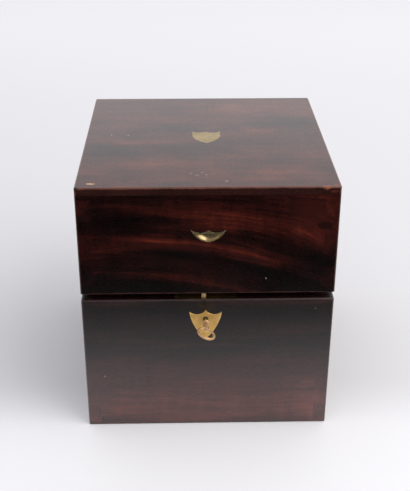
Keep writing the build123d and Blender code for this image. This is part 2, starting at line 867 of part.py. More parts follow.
# Key, made with its bit down and then turned: an iron pipe with its bit, and a brass bow
with BuildPart() as key_pipe:
    with BuildSketch(front_plane(barrel_tip)):
        with Locations((lock_x, lock_z)):
            Circle(barrel_radius)
    extrude(amount=barrel_tip + barrel_out)
    with BuildSketch(front_plane(-barrel_out)):
        with Locations((lock_x, lock_z)):
            Circle(tang_radius)
    extrude(amount=tang_long)
    cuboid(
        (lock_x - bit_thick / 2, lock_x + bit_thick / 2),
        (front + bit_front, front + bit_back),
        (lock_z - bit_reach, lock_z),
    )
    ward_y = front + (bit_front + bit_back - ward_cut) / 2
    cuboid(
        (lock_x - bit_thick, lock_x + bit_thick),
        (ward_y, ward_y + ward_cut),
        (lock_z - bit_reach, lock_z - bit_reach + 2 * ward_cut),
        mode=Mode.SUBTRACT,
    )
    with BuildSketch(front_plane(barrel_tip)):
        with Locations((lock_x, lock_z)):
            Circle(drill_pin_radius + pin_play)
    extrude(amount=barrel_tip, mode=Mode.SUBTRACT)
key_pipe.part = key_pipe.part.rotate(key_line, key_rest)
key_pipe.part.label = "key_pipe"
export_step(key_pipe.part, "parts/key_pipe.step")

shank_end = barrel_out + collar_long + shank_long
bow_middle = shank_end + bow_across / 2 - bow_wire / 2
with BuildPart() as key_bow:
    with BuildSketch(Plane.XZ):
        with BuildLine():
            Polyline(
                (0, 0),
                (collar_radius, 0),
                (collar_radius, collar_long),
                (shank_radius, collar_long),
                (shank_radius - shank_taper, collar_long + shank_long),
                (0, collar_long + shank_long),
                close=True,
            )
        make_face()
    revolve(axis=Axis.Z)
    with BuildSketch(Plane.YZ.offset(-bow_wire / 2)):
        with Locations((0, bow_middle - barrel_out)):
            Circle(bow_across / 2)
            Circle(bow_across / 2 - bow_wire, mode=Mode.SUBTRACT)
    extrude(amount=bow_wire)
    ring_faces = key_bow.faces().filter_by(Plane.YZ)
    chamfer(ring_faces.edges().filter_by(GeomType.CIRCLE), bow_bevel)
    with BuildSketch():
        Circle(tang_radius)
    extrude(amount=tang_long, mode=Mode.SUBTRACT)
key_out = Plane(origin=(lock_x, front - barrel_out, lock_z), x_dir=(1, 0, 0), z_dir=(0, -1, 0))
key_bow.part = key_out.from_local_coords(key_bow.part).rotate(key_line, key_rest)
key_bow.part.label = "key_bow"
export_step(key_bow.part, "parts/key_bow.step")

# Inside of the base
floor = bottom_thick + baize
lining_top = rim - lining_drop
lining_x = inner_x - side_lining
lining_y = inner_y - end_lining
with BuildPart() as floor_baize:
    cuboid((-inner_x, inner_x), (-inner_y, inner_y), (bottom_thick, floor))
floor_baize.part.label = "floor_baize"
export_step(floor_baize.part, "parts/floor_baize.step")

for name, side in sides.items():
    with BuildPart() as side_lining_board:
        cuboid(sorted((side * lining_x, side * inner_x)), (-inner_y, inner_y), (floor, lining_top))
    side_lining_board.part.label = f"{name}_lining"
    export_step(side_lining_board.part, f"parts/{name}_lining.step")

for name, end in (("front", -1), ("back", 1)):
    with BuildPart() as end_lining_board:
        cuboid((-lining_x, lining_x), sorted((end * lining_y, end * inner_y)), (floor, lining_top))
    end_lining_board.part.label = f"{name}_lining"
    export_step(end_lining_board.part, f"parts/{name}_lining.step")

divider_top = floor + divider_height
halving = floor + divider_height / 2
with BuildPart() as long_divider:
    cuboid((-divider / 2, divider / 2), (-lining_y, lining_y), (floor, divider_top))
    cuboid(
        (-divider / 2, divider / 2),
        (-divider / 2 - divider_play, divider / 2 + divider_play),
        (halving, divider_top),
        mode=Mode.SUBTRACT,
    )
long_divider.part.label = "long_divider"
export_step(long_divider.part, "parts/long_divider.step")

with BuildPart() as cross_divider:
    cuboid((-lining_x, lining_x), (-divider / 2, divider / 2), (floor, divider_top))
    cuboid(
        (-divider / 2 - divider_play, divider / 2 + divider_play),
        (-divider / 2, divider / 2),
        (floor, halving),
        mode=Mode.SUBTRACT,
    )
cross_divider.part.label = "cross_divider"
export_step(cross_divider.part, "parts/cross_divider.step")

with BuildPart() as lid_baize:
    cuboid((-inner_x, inner_x), (-inner_y, inner_y), (lid_ceiling - baize, lid_ceiling))
lid_baize.part = swung(lid_baize.part)
lid_baize.part.label = "lid_baize"
export_step(lid_baize.part, "parts/lid_baize.step")


cell_x = (lining_x + divider / 2) / 2
cell_y = (lining_y + divider / 2) / 2
decanter_width = min(lining_x, lining_y) - divider / 2 - 2 * cell_play
neck_top = decanter_height - lip_bevel - lip_band - lip_flare
crown_top = neck_top - neck_long - neck_cone
hip_top = crown_top - crown_rise
body_top = hip_top - hip_rise


def glass_form(inset, foot):
    """A square prism with bevelled corners under its hip and crown, thinned by inset."""
    half = decanter_width / 2
    rings = (
        (foot, half, decanter_corner),
        (body_top - inset, half, decanter_corner),
        (hip_top - inset, half - hip_in, hip_corner),
        (crown_top - inset, crown_half, crown_half * (2 - sqrt(2))),
    )
    with BuildPart() as form:
        for height, reach, corner in rings:
            with BuildSketch(Plane.XY.offset(height)) as ring:
                Rectangle(2 * (reach - inset), 2 * (reach - inset))
                chamfer(ring.vertices(), corner)
        loft(ruled=True)
    return form.part


def bore_radius(height):
    """Radius of the ground mouth at this height of the decanter."""
    share = (decanter_height - height) / bore_long
    return bore_mouth_radius - share * (bore_mouth_radius - bore_foot_radius)


cavity = glass_form(glass_wall, glass_foot)
cavity_top = crown_top - glass_wall
with BuildPart() as decanter_shape:
    add(glass_form(0, 0))
    chamfer(decanter_shape.faces().sort_by(Axis.Z)[0].edges(), foot_bevel)
    with BuildSketch(Plane.XZ):
        with BuildLine():
            Polyline(
                (0, cavity_top),
                (neck_radius, cavity_top),
                (neck_radius, neck_top),
                (lip_radius, neck_top + lip_flare),
                (lip_radius, decanter_height - lip_bevel),
                (lip_radius - lip_bevel, decanter_height),
                (0, decanter_height),
                close=True,
            )
        make_face()
    revolve(axis=Axis.Z)
    add(cavity, mode=Mode.SUBTRACT)
    with BuildSketch(Plane.XZ):
        with BuildLine():
            Polyline(
                (0, cavity_top - foot_bevel),
                (bore_foot_radius, cavity_top - foot_bevel),
                (bore_foot_radius, decanter_height - bore_long),
                (bore_mouth_radius, decanter_height),
                (0, decanter_height),
                close=True,
            )
        make_face()
    revolve(axis=Axis.Z, mode=Mode.SUBTRACT)

plug_foot = decanter_height - plug_long
knob_foot = decanter_height + stopper_gap + flange_thick
facet_rings = (
    (knob_foot, stem_radius),
    (decanter_height + knob_low, knob_radius),
    (decanter_height + knob_high, knob_radius),
    (decanter_height + table_high, table_radius),
)
with BuildPart() as stopper_shape:
    with BuildSketch(Plane.XZ):
        with BuildLine():
            Polyline(
                (0, plug_foot),
                (bore_radius(plug_foot) - pin_play, plug_foot),
                (bore_mouth_radius - pin_play, decanter_height + stopper_gap),
                (flange_radius, decanter_height + stopper_gap),
                (flange_radius, knob_foot),
                (0, knob_foot),
                close=True,
            )
        make_face()
    revolve(axis=Axis.Z)
    for height, radius in facet_rings:
        with BuildSketch(Plane.XY.offset(height)):
            RegularPolygon(radius, facet_count)
    loft(ruled=True)

# Two rows of two, each in the middle of its cell
for row, end in (("front", -1), ("back", 1)):
    for name, side in sides.items():
        place = (side * cell_x, end * cell_y, floor + standing_gap)
        with BuildPart() as decanter:
            with Locations(place):
                add(decanter_shape.part)
        decanter.part.label = f"decanter_{row}_{name}"
        export_step(decanter.part, f"parts/decanter_{row}_{name}.step")

        with BuildPart() as stopper:
            with Locations(place):
                add(stopper_shape.part)
        stopper.part.label = f"stopper_{row}_{name}"
        export_step(stopper.part, f"parts/stopper_{row}_{name}.step")
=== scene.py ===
# %% [markdown]
# A liqueur cabinet of about 1840: a square mahogany box with a deep hinged lid, polished to a dark red
# brown that two centuries have worn, with a brass shield in the top, a scooped brass finger pull in the
# lid, and a lock with its key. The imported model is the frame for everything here. Moved in Blender, it
# would no longer fit its joints, so it stays where it is, and this lesson gives it its finishes, its
# small turned and cast pieces, its light and its camera.

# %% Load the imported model
from math import cos, pi, radians, sin

import bmesh
import bpy
from mathutils import Matrix, Vector, noise


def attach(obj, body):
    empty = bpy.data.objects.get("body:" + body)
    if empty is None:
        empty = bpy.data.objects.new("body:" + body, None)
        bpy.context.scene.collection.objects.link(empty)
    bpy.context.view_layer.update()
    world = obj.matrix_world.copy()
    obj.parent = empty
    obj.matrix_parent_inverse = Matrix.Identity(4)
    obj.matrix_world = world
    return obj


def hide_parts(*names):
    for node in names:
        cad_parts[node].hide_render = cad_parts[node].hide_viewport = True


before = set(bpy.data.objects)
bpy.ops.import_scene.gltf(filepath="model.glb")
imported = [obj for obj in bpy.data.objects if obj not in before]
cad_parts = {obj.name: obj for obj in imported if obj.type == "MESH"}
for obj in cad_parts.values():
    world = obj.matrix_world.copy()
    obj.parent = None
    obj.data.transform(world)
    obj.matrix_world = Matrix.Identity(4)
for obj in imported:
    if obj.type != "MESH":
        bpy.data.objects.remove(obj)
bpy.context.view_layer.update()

# %% [markdown]
# All sizes of the real box are in millimetres, because that is how a maker would measure it, and
# Blender works in metres. These are the sizes that the finishes need: where the outer faces lie, so that
# wear can follow their edges, and the line that the lid turns about. The lid stands 1.4 degrees open, so
# a pattern that follows the lid's edges has to be turned with it. The lock, the key and the link plate
# come again in several cells, so their places are here too.

# %% Sizes of the box
MM = 0.001
case_width = 252.0
case_depth = 268.0
base_height = 155.0
lid_rim = 155.25
lid_top = 269.75
front = -case_depth / 2
hinge_y, hinge_z = 130.4, 155.125
lid_ajar = radians(1.4)
lock_x, lock_z = -2.2, 132.6
key_rest = radians(69.0)
staple_x, link_plate_y, link_screw_out = -4.0, front + 7.5, 12.0
print("box shut, mm:", case_width, case_depth, lid_top)

# %% [markdown]
# The camera was fitted to the ten corners of the box that the photograph shows. A camera could be
# placed by eye, but a fit gives the lens too: a moderate telephoto, 0.93 m in front of the box's middle
# and 0.64 m up, looking down at 28 degrees. Depth of field stays off, because all of the box is sharp. The
# Standard view transform shows a colour as it is written.

# %% Camera
frame_high = 491
focal_pixels = 941.2
yaw, pitch, roll = radians(1.3748), radians(28.1905), radians(0.1204)
camera_place = (-0.02212, -0.93283, 0.64427)
camera_data = bpy.data.cameras.new("photograph_camera")
camera_data.sensor_fit = "VERTICAL"
camera_data.sensor_height = 24.0
camera_data.lens = focal_pixels / frame_high * camera_data.sensor_height
camera = bpy.data.objects.new("photograph_camera", camera_data)
bpy.context.scene.collection.objects.link(camera)
look = Vector((sin(yaw) * cos(pitch), cos(yaw) * cos(pitch), -sin(pitch)))
level = Vector((cos(yaw), -sin(yaw), 0.0))
upright = level.cross(look)
side_way = level * cos(roll) + upright * sin(roll)
up_way = upright * cos(roll) - level * sin(roll)
aim = Matrix((side_way, up_way, -look)).transposed().to_4x4()
camera.matrix_world = Matrix.Translation(camera_place) @ aim
bpy.context.scene.camera = camera
bpy.context.scene.view_settings.view_transform = "Standard"
print("lens, mm:", round(camera_data.lens, 2))

# %% [markdown]
# Every material below is a small tree of shader nodes. The same two helpers serve them all: one turns
# the sRGB hex colour that a colour picker shows into the linear values that Blender adds up, and the
# other adds one node with its settings, its numbers and its links, and hands back what comes out of it.

# %% Two helpers for materials
def colour(hex_code):
    """sRGB hex to linear red, green, blue and alpha."""
    channels = [int(hex_code[i : i + 2], 16) / 255 for i in (1, 3, 5)]
    linear = [c / 12.92 if c <= 0.04045 else ((c + 0.055) / 1.055) ** 2.4 for c in channels]
    return (*linear, 1.0)


def node(tree, kind, inputs=None, out=0, stops=None, **settings):
    """One shader node with its settings, its ramp stops, and its inputs as numbers or links."""
    made = tree.nodes.new("ShaderNode" + kind)
    for name, value in settings.items():
        setattr(made, name, value)
    if stops:
        while len(made.color_ramp.elements) < len(stops):
            made.color_ramp.elements.new(0.5)
        for element, (place, shade) in zip(made.color_ramp.elements, stops):
            element.position = place
            element.color = colour(shade)
    for socket, value in (inputs or {}).items():
        if isinstance(value, bpy.types.NodeSocket):
            tree.links.new(value, made.inputs[socket])
        else:
            made.inputs[socket].default_value = value
    return made.outputs[out]


print("middle grey is linear", round(colour("#808080")[0], 3))

# %% [markdown]
# A material starts as a Principled BSDF. Its fixed numbers go straight on its own sockets, and only what
# varies over the surface is linked, because that is what an exported model keeps.

# %% Start a material, and give it to pieces
def finish(name, **fixed):
    """A new material, its tree, its shader and its Object coordinates."""
    made = bpy.data.materials.new(name)
    made.use_nodes = True
    tree = made.node_tree
    shader = tree.nodes["Principled BSDF"]
    for socket, value in fixed.items():
        shader.inputs[socket.replace("_", " ")].default_value = value
    return made, tree, shader, node(tree, "TexCoord", out=3)


def dress(material, *names):
    """Gives CAD nodes or new pieces this material alone."""
    for name in names:
        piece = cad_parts.get(name) or bpy.data.objects[name]
        piece.data.materials.clear()
        piece.data.materials.append(material)


print("nodes to dress:", len(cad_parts))

# %% [markdown]
# The wear and the grain are drawn in millimetres of the shut box. A Mapping node turns the lid's
# coordinates shut about the hinge line, so the same numbers serve the lid and the base. Most signals are
# sums of others, and they fade from one value to another with a smooth step, which shows no line. The
# settings of such a fade, and of one colour over another, have names.

# %% Millimetres of the shut box
def shut_millimetres(tree, coordinates, on_lid):
    """Object coordinates in millimetres, with the lid's turned shut."""
    turn = lid_ajar if on_lid else 0.0
    y, z = hinge_y * MM, hinge_z * MM
    shift = (0.0, y - y * cos(turn) + z * sin(turn), z - y * sin(turn) - z * cos(turn))
    spot = {"Vector": coordinates, "Location": shift, "Rotation": (turn, 0.0, 0.0)}
    return node(tree, "VectorMath", {0: node(tree, "Mapping", spot), "Scale": 1 / MM}, operation="SCALE")


def sum_of(tree, first, *terms):
    """A number plus some signals, each times its weight."""
    total = first
    for signal, weight in terms:
        total = node(tree, "Math", {0: signal, 1: weight, 2: total}, operation="MULTIPLY_ADD")
    return total


smooth = {"interpolation_type": "SMOOTHSTEP"}
tint = {"out": 2, "data_type": "RGBA"}
print("lid turned shut by", round(lid_ajar / radians(1), 2), "degrees")

# %% [markdown]
# Mahogany is a red brown wood. Under old French polish it shows three things at three sizes: broad light
# and dark bands about 15 mm wide that flow along the board, fine streaks of 2 to 3 mm, and open pores,
# dashes of about 0.3 mm by 4 mm that are drawn here 0.6 mm wide so that they show. An image would hold
# one board only. Noise stretched along the grain, in solid coordinates, gives every board its own
# figure, and shows rings and dots where the end grain comes out, as on the dovetails. A board's seed
# moves it to another part of the noise. The flame's bend is full low on the board and slight near its top.

# %% Grain that flows along a board
bend_low, bend_high, bend_left_at_top = 190.0, 260.0, 0.25
board_step = (311.0, 173.0, 97.0)


def grain_flow(tree, place, along, bend, seed):
    """Places measured along and across the grain, which bends down past a start, and the height there."""
    x, y, z = node(tree, "SeparateXYZ", {0: place}).node.outputs
    runs, other = (x, y) if along == "X" else (y, x)
    start, curve = bend
    past = node(tree, "Math", {0: runs, 1: start}, operation="SUBTRACT")
    past = node(tree, "Math", {0: past, 1: 0.0}, operation="MAXIMUM")
    square = node(tree, "Math", {0: past, 1: past}, operation="MULTIPLY")
    share = {0: z, 1: bend_low, 2: bend_high, 3: curve, 4: bend_left_at_top * curve}
    share = node(tree, "MapRange", share, **smooth)
    drop = node(tree, "Math", {0: square, 1: share}, operation="MULTIPLY")
    height = node(tree, "Math", {0: z, 1: drop}, operation="ADD")
    flow = node(tree, "CombineXYZ", {0: runs, 1: other, 2: height})
    return node(tree, "VectorMath", {0: flow, 1: tuple(step * seed for step in board_step)}), height, runs


def stretched(tree, flow, long, wide, **settings):
    """Noise about nought whose blots are this long and this wide, in millimetres."""
    scale = (1 / long, 1 / wide, 1 / wide)
    scaled = node(tree, "VectorMath", {0: flow, 1: scale}, operation="MULTIPLY")
    value = node(tree, "TexNoise", {"Vector": scaled, "Scale": 1.0, **settings})
    return node(tree, "Math", {0: value, 1: 0.5}, operation="SUBTRACT")


def blot(tree, place, centre, size, soft, strength):
    """A soft spot: its strength inside, nought past its size, which may differ along each axis."""
    gap = node(tree, "VectorMath", {0: place, 1: centre}, operation="SUBTRACT")
    gap = node(tree, "VectorMath", {0: gap, 1: size}, operation="DIVIDE")
    gap = node(tree, "VectorMath", {0: gap}, out=1, operation="LENGTH")
    return node(tree, "MapRange", {0: gap, 1: 1.0 - soft, 2: 1.0, 3: strength, 4: 0.0}, **smooth)


print("seeds move a board by", board_step, "mm")

# %% [markdown]
# Hands and polish wear a box along its edges first, so the wear needs the distance to the nearest edge.
# Pointiness would need a connected mesh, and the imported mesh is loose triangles. On the outside of a box
# one of the three distances to its faces is nought, and the middle one of the three is the distance to
# the nearest edge: that takes a few Math nodes. The wear is broken up by noise with spots of about 14 mm,
# because no edge wears evenly. The same distances tell the faces that look sideways, where end grain
# shows, from those that look up.

# %% Worn edges
worn_full, worn_out = 0.3, 3.6
rub_scale, rub_share, rub_limit = 0.07, 1.3, 0.62


def worn_edges(tree, place, low, high):
    """How worn the polish is, then masks of the front and back and of all four sides."""
    x, y, z = node(tree, "SeparateXYZ", {0: place}).node.outputs
    gaps = []
    for socket, middle, half in ((x, 0.0, case_width / 2), (y, 0.0, case_depth / 2),
                                 (z, (low + high) / 2, (high - low) / 2)):
        size = node(tree, "Math", {0: socket, 1: middle}, operation="SUBTRACT")
        size = node(tree, "Math", {0: size}, operation="ABSOLUTE")
        gaps.append(node(tree, "Math", {0: half, 1: size}, operation="SUBTRACT"))
    least = node(tree, "Math", {0: gaps[0], 1: gaps[1]}, operation="MINIMUM")
    most = node(tree, "Math", {0: gaps[0], 1: gaps[1]}, operation="MAXIMUM")
    second = node(tree, "Math", {0: most, 1: gaps[2]}, operation="MINIMUM")
    edge = node(tree, "Math", {0: least, 1: second}, operation="MAXIMUM")
    skin = node(tree, "Math", {0: least, 1: gaps[2]}, operation="MINIMUM")
    rubbed = node(tree, "TexNoise", {"Vector": place, "Scale": rub_scale, "Detail": 4.0, "Roughness": 0.65})
    near = node(tree, "MapRange", {0: edge, 1: worn_full, 2: worn_out, 3: 1.0, 4: 0.0}, **smooth)
    wear = sum_of(tree, -rub_limit, (near, 1.0), (rubbed, rub_share))
    wear = node(tree, "MapRange", {0: wear, 1: 0.5, 2: 0.95, 3: 0.0, 4: 1.0})
    outside = node(tree, "MapRange", {0: skin, 1: 0.8, 2: 1.5, 3: 1.0, 4: 0.0})
    masks = [node(tree, "MapRange", {0: gap, 1: 0.5, 2: 1.0, 3: 1.0, 4: 0.0}) for gap in (gaps[1], least)]
    return node(tree, "Math", {0: wear, 1: outside}, operation="MULTIPLY"), *masks


print("wear reaches", worn_out, "mm from an edge")

# %% [markdown]
# Three things lie over the figure. Bands are long light or dark streaks that follow the grain and wander
# a little with it. Clouds are broad patches of stain and fading, whose edges drift. Marks are chips and
# scuffs with ragged edges. Each is a list of places in millimetres, so that the next board is only
# another list. They could be painted on an image, but then each board would need one.

# %% Bands, clouds and marks
wander_broad, wander_fine = 10.0, 4.0
band_comes_in, band_goes_out = 60.0, 50.0
cloud_drift, chip_drift = (60.0, 30.0, 30.0), (3.0, 3.0, 3.0)


def drifting(tree, place, scale, reach):
    """Places moved about by noise, up to half of a reach each way."""
    moved = node(tree, "TexNoise", {"Vector": place, "Scale": scale, "Detail": 3.0}, out=1)
    moved = node(tree, "VectorMath", {0: moved, 1: (-0.5, -0.5, -0.5)})
    return node(tree, "VectorMath", {0: moved, 1: reach, 2: place}, operation="MULTIPLY_ADD")


def banded(tree, level, height, runs, broad, streaks, bands):
    """The level with bands: height, half width, strength, and where each begins and ends."""
    for middle, half, strength, begins, ends_at in bands:
        away = node(tree, "Math", {0: height, 1: middle}, operation="SUBTRACT")
        away = sum_of(tree, away, (broad, wander_broad), (streaks, wander_fine))
        away = node(tree, "Math", {0: away}, operation="ABSOLUTE")
        shift = node(tree, "MapRange", {0: away, 1: 0.0, 2: half, 3: strength, 4: 0.0}, **smooth)
        for low, high, at_low, at_high in ((begins, begins + band_comes_in, 0.0, 1.0),
                                           (ends_at - band_goes_out, ends_at, 1.0, 0.0)):
            limit = node(tree, "MapRange", {0: runs, 1: low, 2: high, 3: at_low, 4: at_high}, **smooth)
            shift = node(tree, "Math", {0: shift, 1: limit}, operation="MULTIPLY")
        level = node(tree, "Math", {0: level, 1: shift}, operation="ADD")
    return level


def clouded(tree, level, place, clouds, patchy):
    """The level with clouds, and patchy stain all over if asked."""
    place = drifting(tree, place, 0.035, cloud_drift)
    for centre, size, strength in clouds:
        level = sum_of(tree, level, (blot(tree, place, centre, size, 1.0, strength), 1.0))
    if patchy:
        stain = node(tree, "TexNoise", {"Vector": place, "Scale": 0.028, "Detail": 5.0, "Roughness": 0.6})
        level = sum_of(tree, level, (node(tree, "Math", {0: stain, 1: 0.5}, operation="SUBTRACT"), patchy))
    return level


def marked(tree, wood, place, marks):
    """The wood with its chips and scuffs."""
    ragged = drifting(tree, place, 0.5, chip_drift)
    for centre, size, shade, strength in marks:
        spot = blot(tree, ragged, centre, size, 0.35, strength)
        wood = node(tree, "Mix", {0: spot, 6: wood, 7: colour(shade)}, **tint)
    return wood


print("clouds drift by", cloud_drift[0] / 2, "mm, chips by", chip_drift[0] / 2, "mm")

# %% [markdown]
# French polish is thin shellac rubbed on with a pad. It is a clear coat with a soft shine over a duller
# wood, so the shader has both a coat and a rougher base. The level says how light the wood is at a place,
# and a colour ramp turns it into the four colours of a board, from its dark to its light. The pores are
# dark and dull, and where the polish is worn the wood is bare, duller and a little lower.

# %% Figured mahogany under old French polish
coat_index, wood_index, coat_roughness, wood_roughness = 1.6, 1.5, 0.15, 0.19
pore_share, worn_cover, side_cover = 0.5, 0.7, 0.85
relief_height = 0.12


def mahogany(name, on_lid, along, palette, tone, figure=1.0, bend=(0.0, 0.0), bands=(), clouds=(),
             marks=(), seed=0, end_grain=0.0, end_shade=None, patchy=0.0, worn="#4a2318"):
    """Polished mahogany with its grain along X or Y."""
    made, tree, shader, coordinates = finish(name, Coat_Weight=1.0, Coat_Roughness=coat_roughness,
                                             Coat_IOR=coat_index, IOR=wood_index)
    place = shut_millimetres(tree, coordinates, on_lid)
    flow, height, runs = grain_flow(tree, place, along, bend, seed)
    broad = stretched(tree, flow, long=130.0, wide=15.0, Detail=2.0, Distortion=0.4)
    streaks = stretched(tree, flow, long=60.0, wide=2.6, Detail=3.0)
    fibres = stretched(tree, flow, long=20.0, wide=0.9, Detail=2.0)
    mottle = stretched(tree, flow, long=9.0, wide=24.0, Detail=2.0)
    pores = stretched(tree, flow, long=5.0, wide=0.6, Detail=0.0)
    level = sum_of(tree, tone, (broad, 1.1 * figure), (streaks, 0.6 * figure), (fibres, 0.35 * figure),
                   (mottle, 0.35 * figure))
    level = banded(tree, level, height, runs, broad, streaks, bands)
    level = clouded(tree, level, place, clouds, patchy)
    wear, ends, sides = worn_edges(tree, place, *((lid_rim, lid_top) if on_lid else (0.0, base_height)))
    level = sum_of(tree, level, (ends, end_grain))

    stops = tuple((share / (len(palette) - 1), shade) for share, shade in enumerate(palette))
    wood = node(tree, "ValToRGB", {0: level}, stops=stops)
    pits = node(tree, "MapRange", {0: pores, 1: 0.12, 2: 0.22, 3: 0.0, 4: pore_share})
    wood = node(tree, "Mix", {0: pits, 6: wood, 7: colour(palette[0])}, **tint)
    if end_shade:
        dark = node(tree, "Math", {0: sides, 1: side_cover}, operation="MULTIPLY")
        wood = node(tree, "Mix", {0: dark, 6: wood, 7: colour(end_shade)}, **tint)
    bare = node(tree, "Math", {0: wear, 1: worn_cover}, operation="MULTIPLY")
    wood = node(tree, "Mix", {0: bare, 6: wood, 7: colour(worn)}, **tint)
    wood = marked(tree, wood, place, marks)

    handled = node(tree, "TexNoise", {"Vector": place, "Scale": 0.02, "Detail": 3.0})
    rough = sum_of(tree, wood_roughness, (handled, 0.14), (wear, 0.22), (pits, 0.1))
    relief = sum_of(tree, 0.0, (pits, -0.5), (streaks, 0.3), (wear, -0.6))
    bump = node(tree, "Bump", {"Height": relief, "Strength": 0.18, "Distance": relief_height * MM})
    for signal, socket in ((wood, "Base Color"), (rough, "Roughness"), (bump, "Normal")):
        tree.links.new(signal, shader.inputs[socket])
    return made


print("polish: index", coat_index, "over wood", wood_index)

# %% [markdown]
# The lid's front was cut from a board with a flame: a red streak that starts level at the left and
# sweeps down to the right under the finger pull, with a nearly black band below it. Numbers of a band:
# its height at the left, its half width, how much lighter or darker it is, and where along the board it
# comes in and goes out. Clouds go right through a board, so their depth is far more than the box's.

# %% The lid's front
flame = ("#090201", "#1f0503", "#400e05", "#70240c")
lid_bend = (-100.0, 0.0009)
deep = 400.0
pull_board_bands = (
    (216.0, 5.0, 0.26, -110.0, 98.0),
    (214.0, 13.0, 0.14, -120.0, 110.0),
    (203.0, 10.0, -0.22, -90.0, 200.0),
    (229.0, 6.0, -0.22, -10.0, 200.0),
    (240.0, 12.0, 0.2, -60.0, 200.0),
    (182.0, 8.0, 0.03, -200.0, 60.0),
    (164.0, 14.0, -0.18, -200.0, 200.0),
    (249.0, 10.0, 0.14, 50.0, 200.0),
)
pull_board_clouds = (
    ((96.0, front, 168.0), (110.0, deep, 42.0), -0.42),
    ((-90.0, front, 168.0), (110.0, deep, 34.0), -0.24),
    ((-96.0, front, 252.0), (90.0, deep, 40.0), -0.16),
    ((104.0, front, 244.0), (50.0, deep, 26.0), 0.1),
)
pull_board_marks = (
    ((46.0, front, 268.8), (7.0, 4.0, 1.6), "#8f5f4c", 0.8),
    ((57.0, front, 172.0), (1.0, 3.0, 0.9), "#8b8d78", 0.8),
    ((112.0, front, 229.0), (9.0, 3.0, 5.0), "#150504", 0.7),
)
lid_front_wood = mahogany("mahogany_lid_front", True, "X", flame, 0.38, bend=lid_bend,
                          bands=pull_board_bands, clouds=pull_board_clouds, marks=pull_board_marks, seed=1)
dress(lid_front_wood, "lid_front_board")
print("lid front:", len(pull_board_bands), "bands,", len(pull_board_clouds), "clouds")

# %% [markdown]
# The top is the most faded board. Its stain has gone patchy, in dark blue grey and dull red clouds 30 to
# 60 mm across, and it has a tan chip at the left corner, scuffs near the front edge and bruised corners.
# Its edges are darker than its face, because no sun reached them.

# %% The lid's top
faded = ("#2a1a1d", "#472826", "#6c3a2f", "#9c5644")
top_clouds = (
    ((28.0, 86.0, lid_top), (80.0, 36.0, deep), 0.22),
    ((-44.0, 58.0, lid_top), (76.0, 32.0, deep), 0.15),
    ((-26.0, 36.0, lid_top), (48.0, 24.0, deep), -0.22),
    ((90.0, 44.0, lid_top), (84.0, 34.0, deep), -0.24),
    ((54.0, 18.0, lid_top), (46.0, 18.0, deep), 0.24),
    ((-104.0, -46.0, lid_top), (66.0, 44.0, deep), -0.27),
    ((-20.0, -34.0, lid_top), (90.0, 38.0, deep), -0.21),
    ((-56.0, -76.0, lid_top), (90.0, 26.0, deep), 0.17),
    ((50.0, -100.0, lid_top), (120.0, 44.0, deep), 0.09),
    ((-78.0, -12.0, lid_top), (42.0, 18.0, deep), 0.20),
    ((90.0, 110.0, lid_top), (90.0, 50.0, deep), 0.11),
    ((-95.0, -110.0, lid_top), (60.0, 40.0, deep), -0.09),
)
top_marks = (
    ((-111.2, -123.9, lid_top), (5.0, 2.2, 3.0), "#e0b07c", 0.95),
    ((-99.7, 9.1, lid_top), (0.9, 1.3, 3.0), "#e0d8d0", 0.9),
    ((-81.3, 7.8, lid_top), (0.8, 1.2, 3.0), "#e0d8d0", 0.8),
    ((-16.0, -99.0, lid_top), (1.8, 1.4, 3.0), "#b59c92", 0.55),
    ((-10.0, -104.0, lid_top), (2.4, 1.6, 3.0), "#b59c92", 0.4),
    ((-5.0, -98.0, lid_top), (1.6, 1.6, 3.0), "#b59c92", 0.5),
    ((-1.0, -103.0, lid_top), (1.6, 1.3, 3.0), "#b59c92", 0.5),
    ((6.0, -100.0, lid_top), (1.8, 1.4, 3.0), "#b59c92", 0.4),
    ((18.2, -119.7, lid_top), (1.4, 2.0, 3.0), "#c0aca2", 0.6),
    ((121.0, -131.0, lid_top - 1), (3.4, 2.6, 3.0), "#8a4324", 0.9),
    ((112.0, -133.0, lid_top - 1), (5.0, 1.8, 3.0), "#9a5233", 0.85),
    ((119.0, front, lid_top - 5), (4.4, 3.0, 1.5), "#5a2414", 0.7),
    ((-124.0, -132.5, lid_top - 1), (3.0, 2.4, 3.0), "#120605", 0.9),
)
lid_top_wood = mahogany("mahogany_lid_top", True, "X", faded, 0.46, figure=0.5, clouds=top_clouds,
                        marks=top_marks, seed=2, end_shade="#260a05", patchy=0.7, worn="#7c4733")
dress(lid_top_wood, "lid_top_board")
print("lid top:", len(top_clouds), "clouds,", len(top_marks), "marks")

# %% [markdown]
# The side boards end on the front as dovetails. End grain drinks more stain and polish than a face does,
# and here it shows a little redder at the right than at the left, and darker low on the lid.

# %% The lid's sides and back
lid_side_bands = ((170.0, 32.0, -0.3, -200.0, 200.0), (250.0, 12.0, 0.14, -200.0, 200.0))
for side, seed, end_grain in (("left", 3, -0.04), ("right", 9, 0.1)):
    board = mahogany(f"mahogany_lid_{side}", True, "Y", flame, 0.42, figure=0.8, bands=lid_side_bands,
                     seed=seed, end_grain=end_grain)
    dress(board, f"lid_{side}_board")
dress(mahogany("mahogany_lid_back", True, "X", flame, 0.4, seed=4), "lid_back_board")
print("lid sides and back dressed")
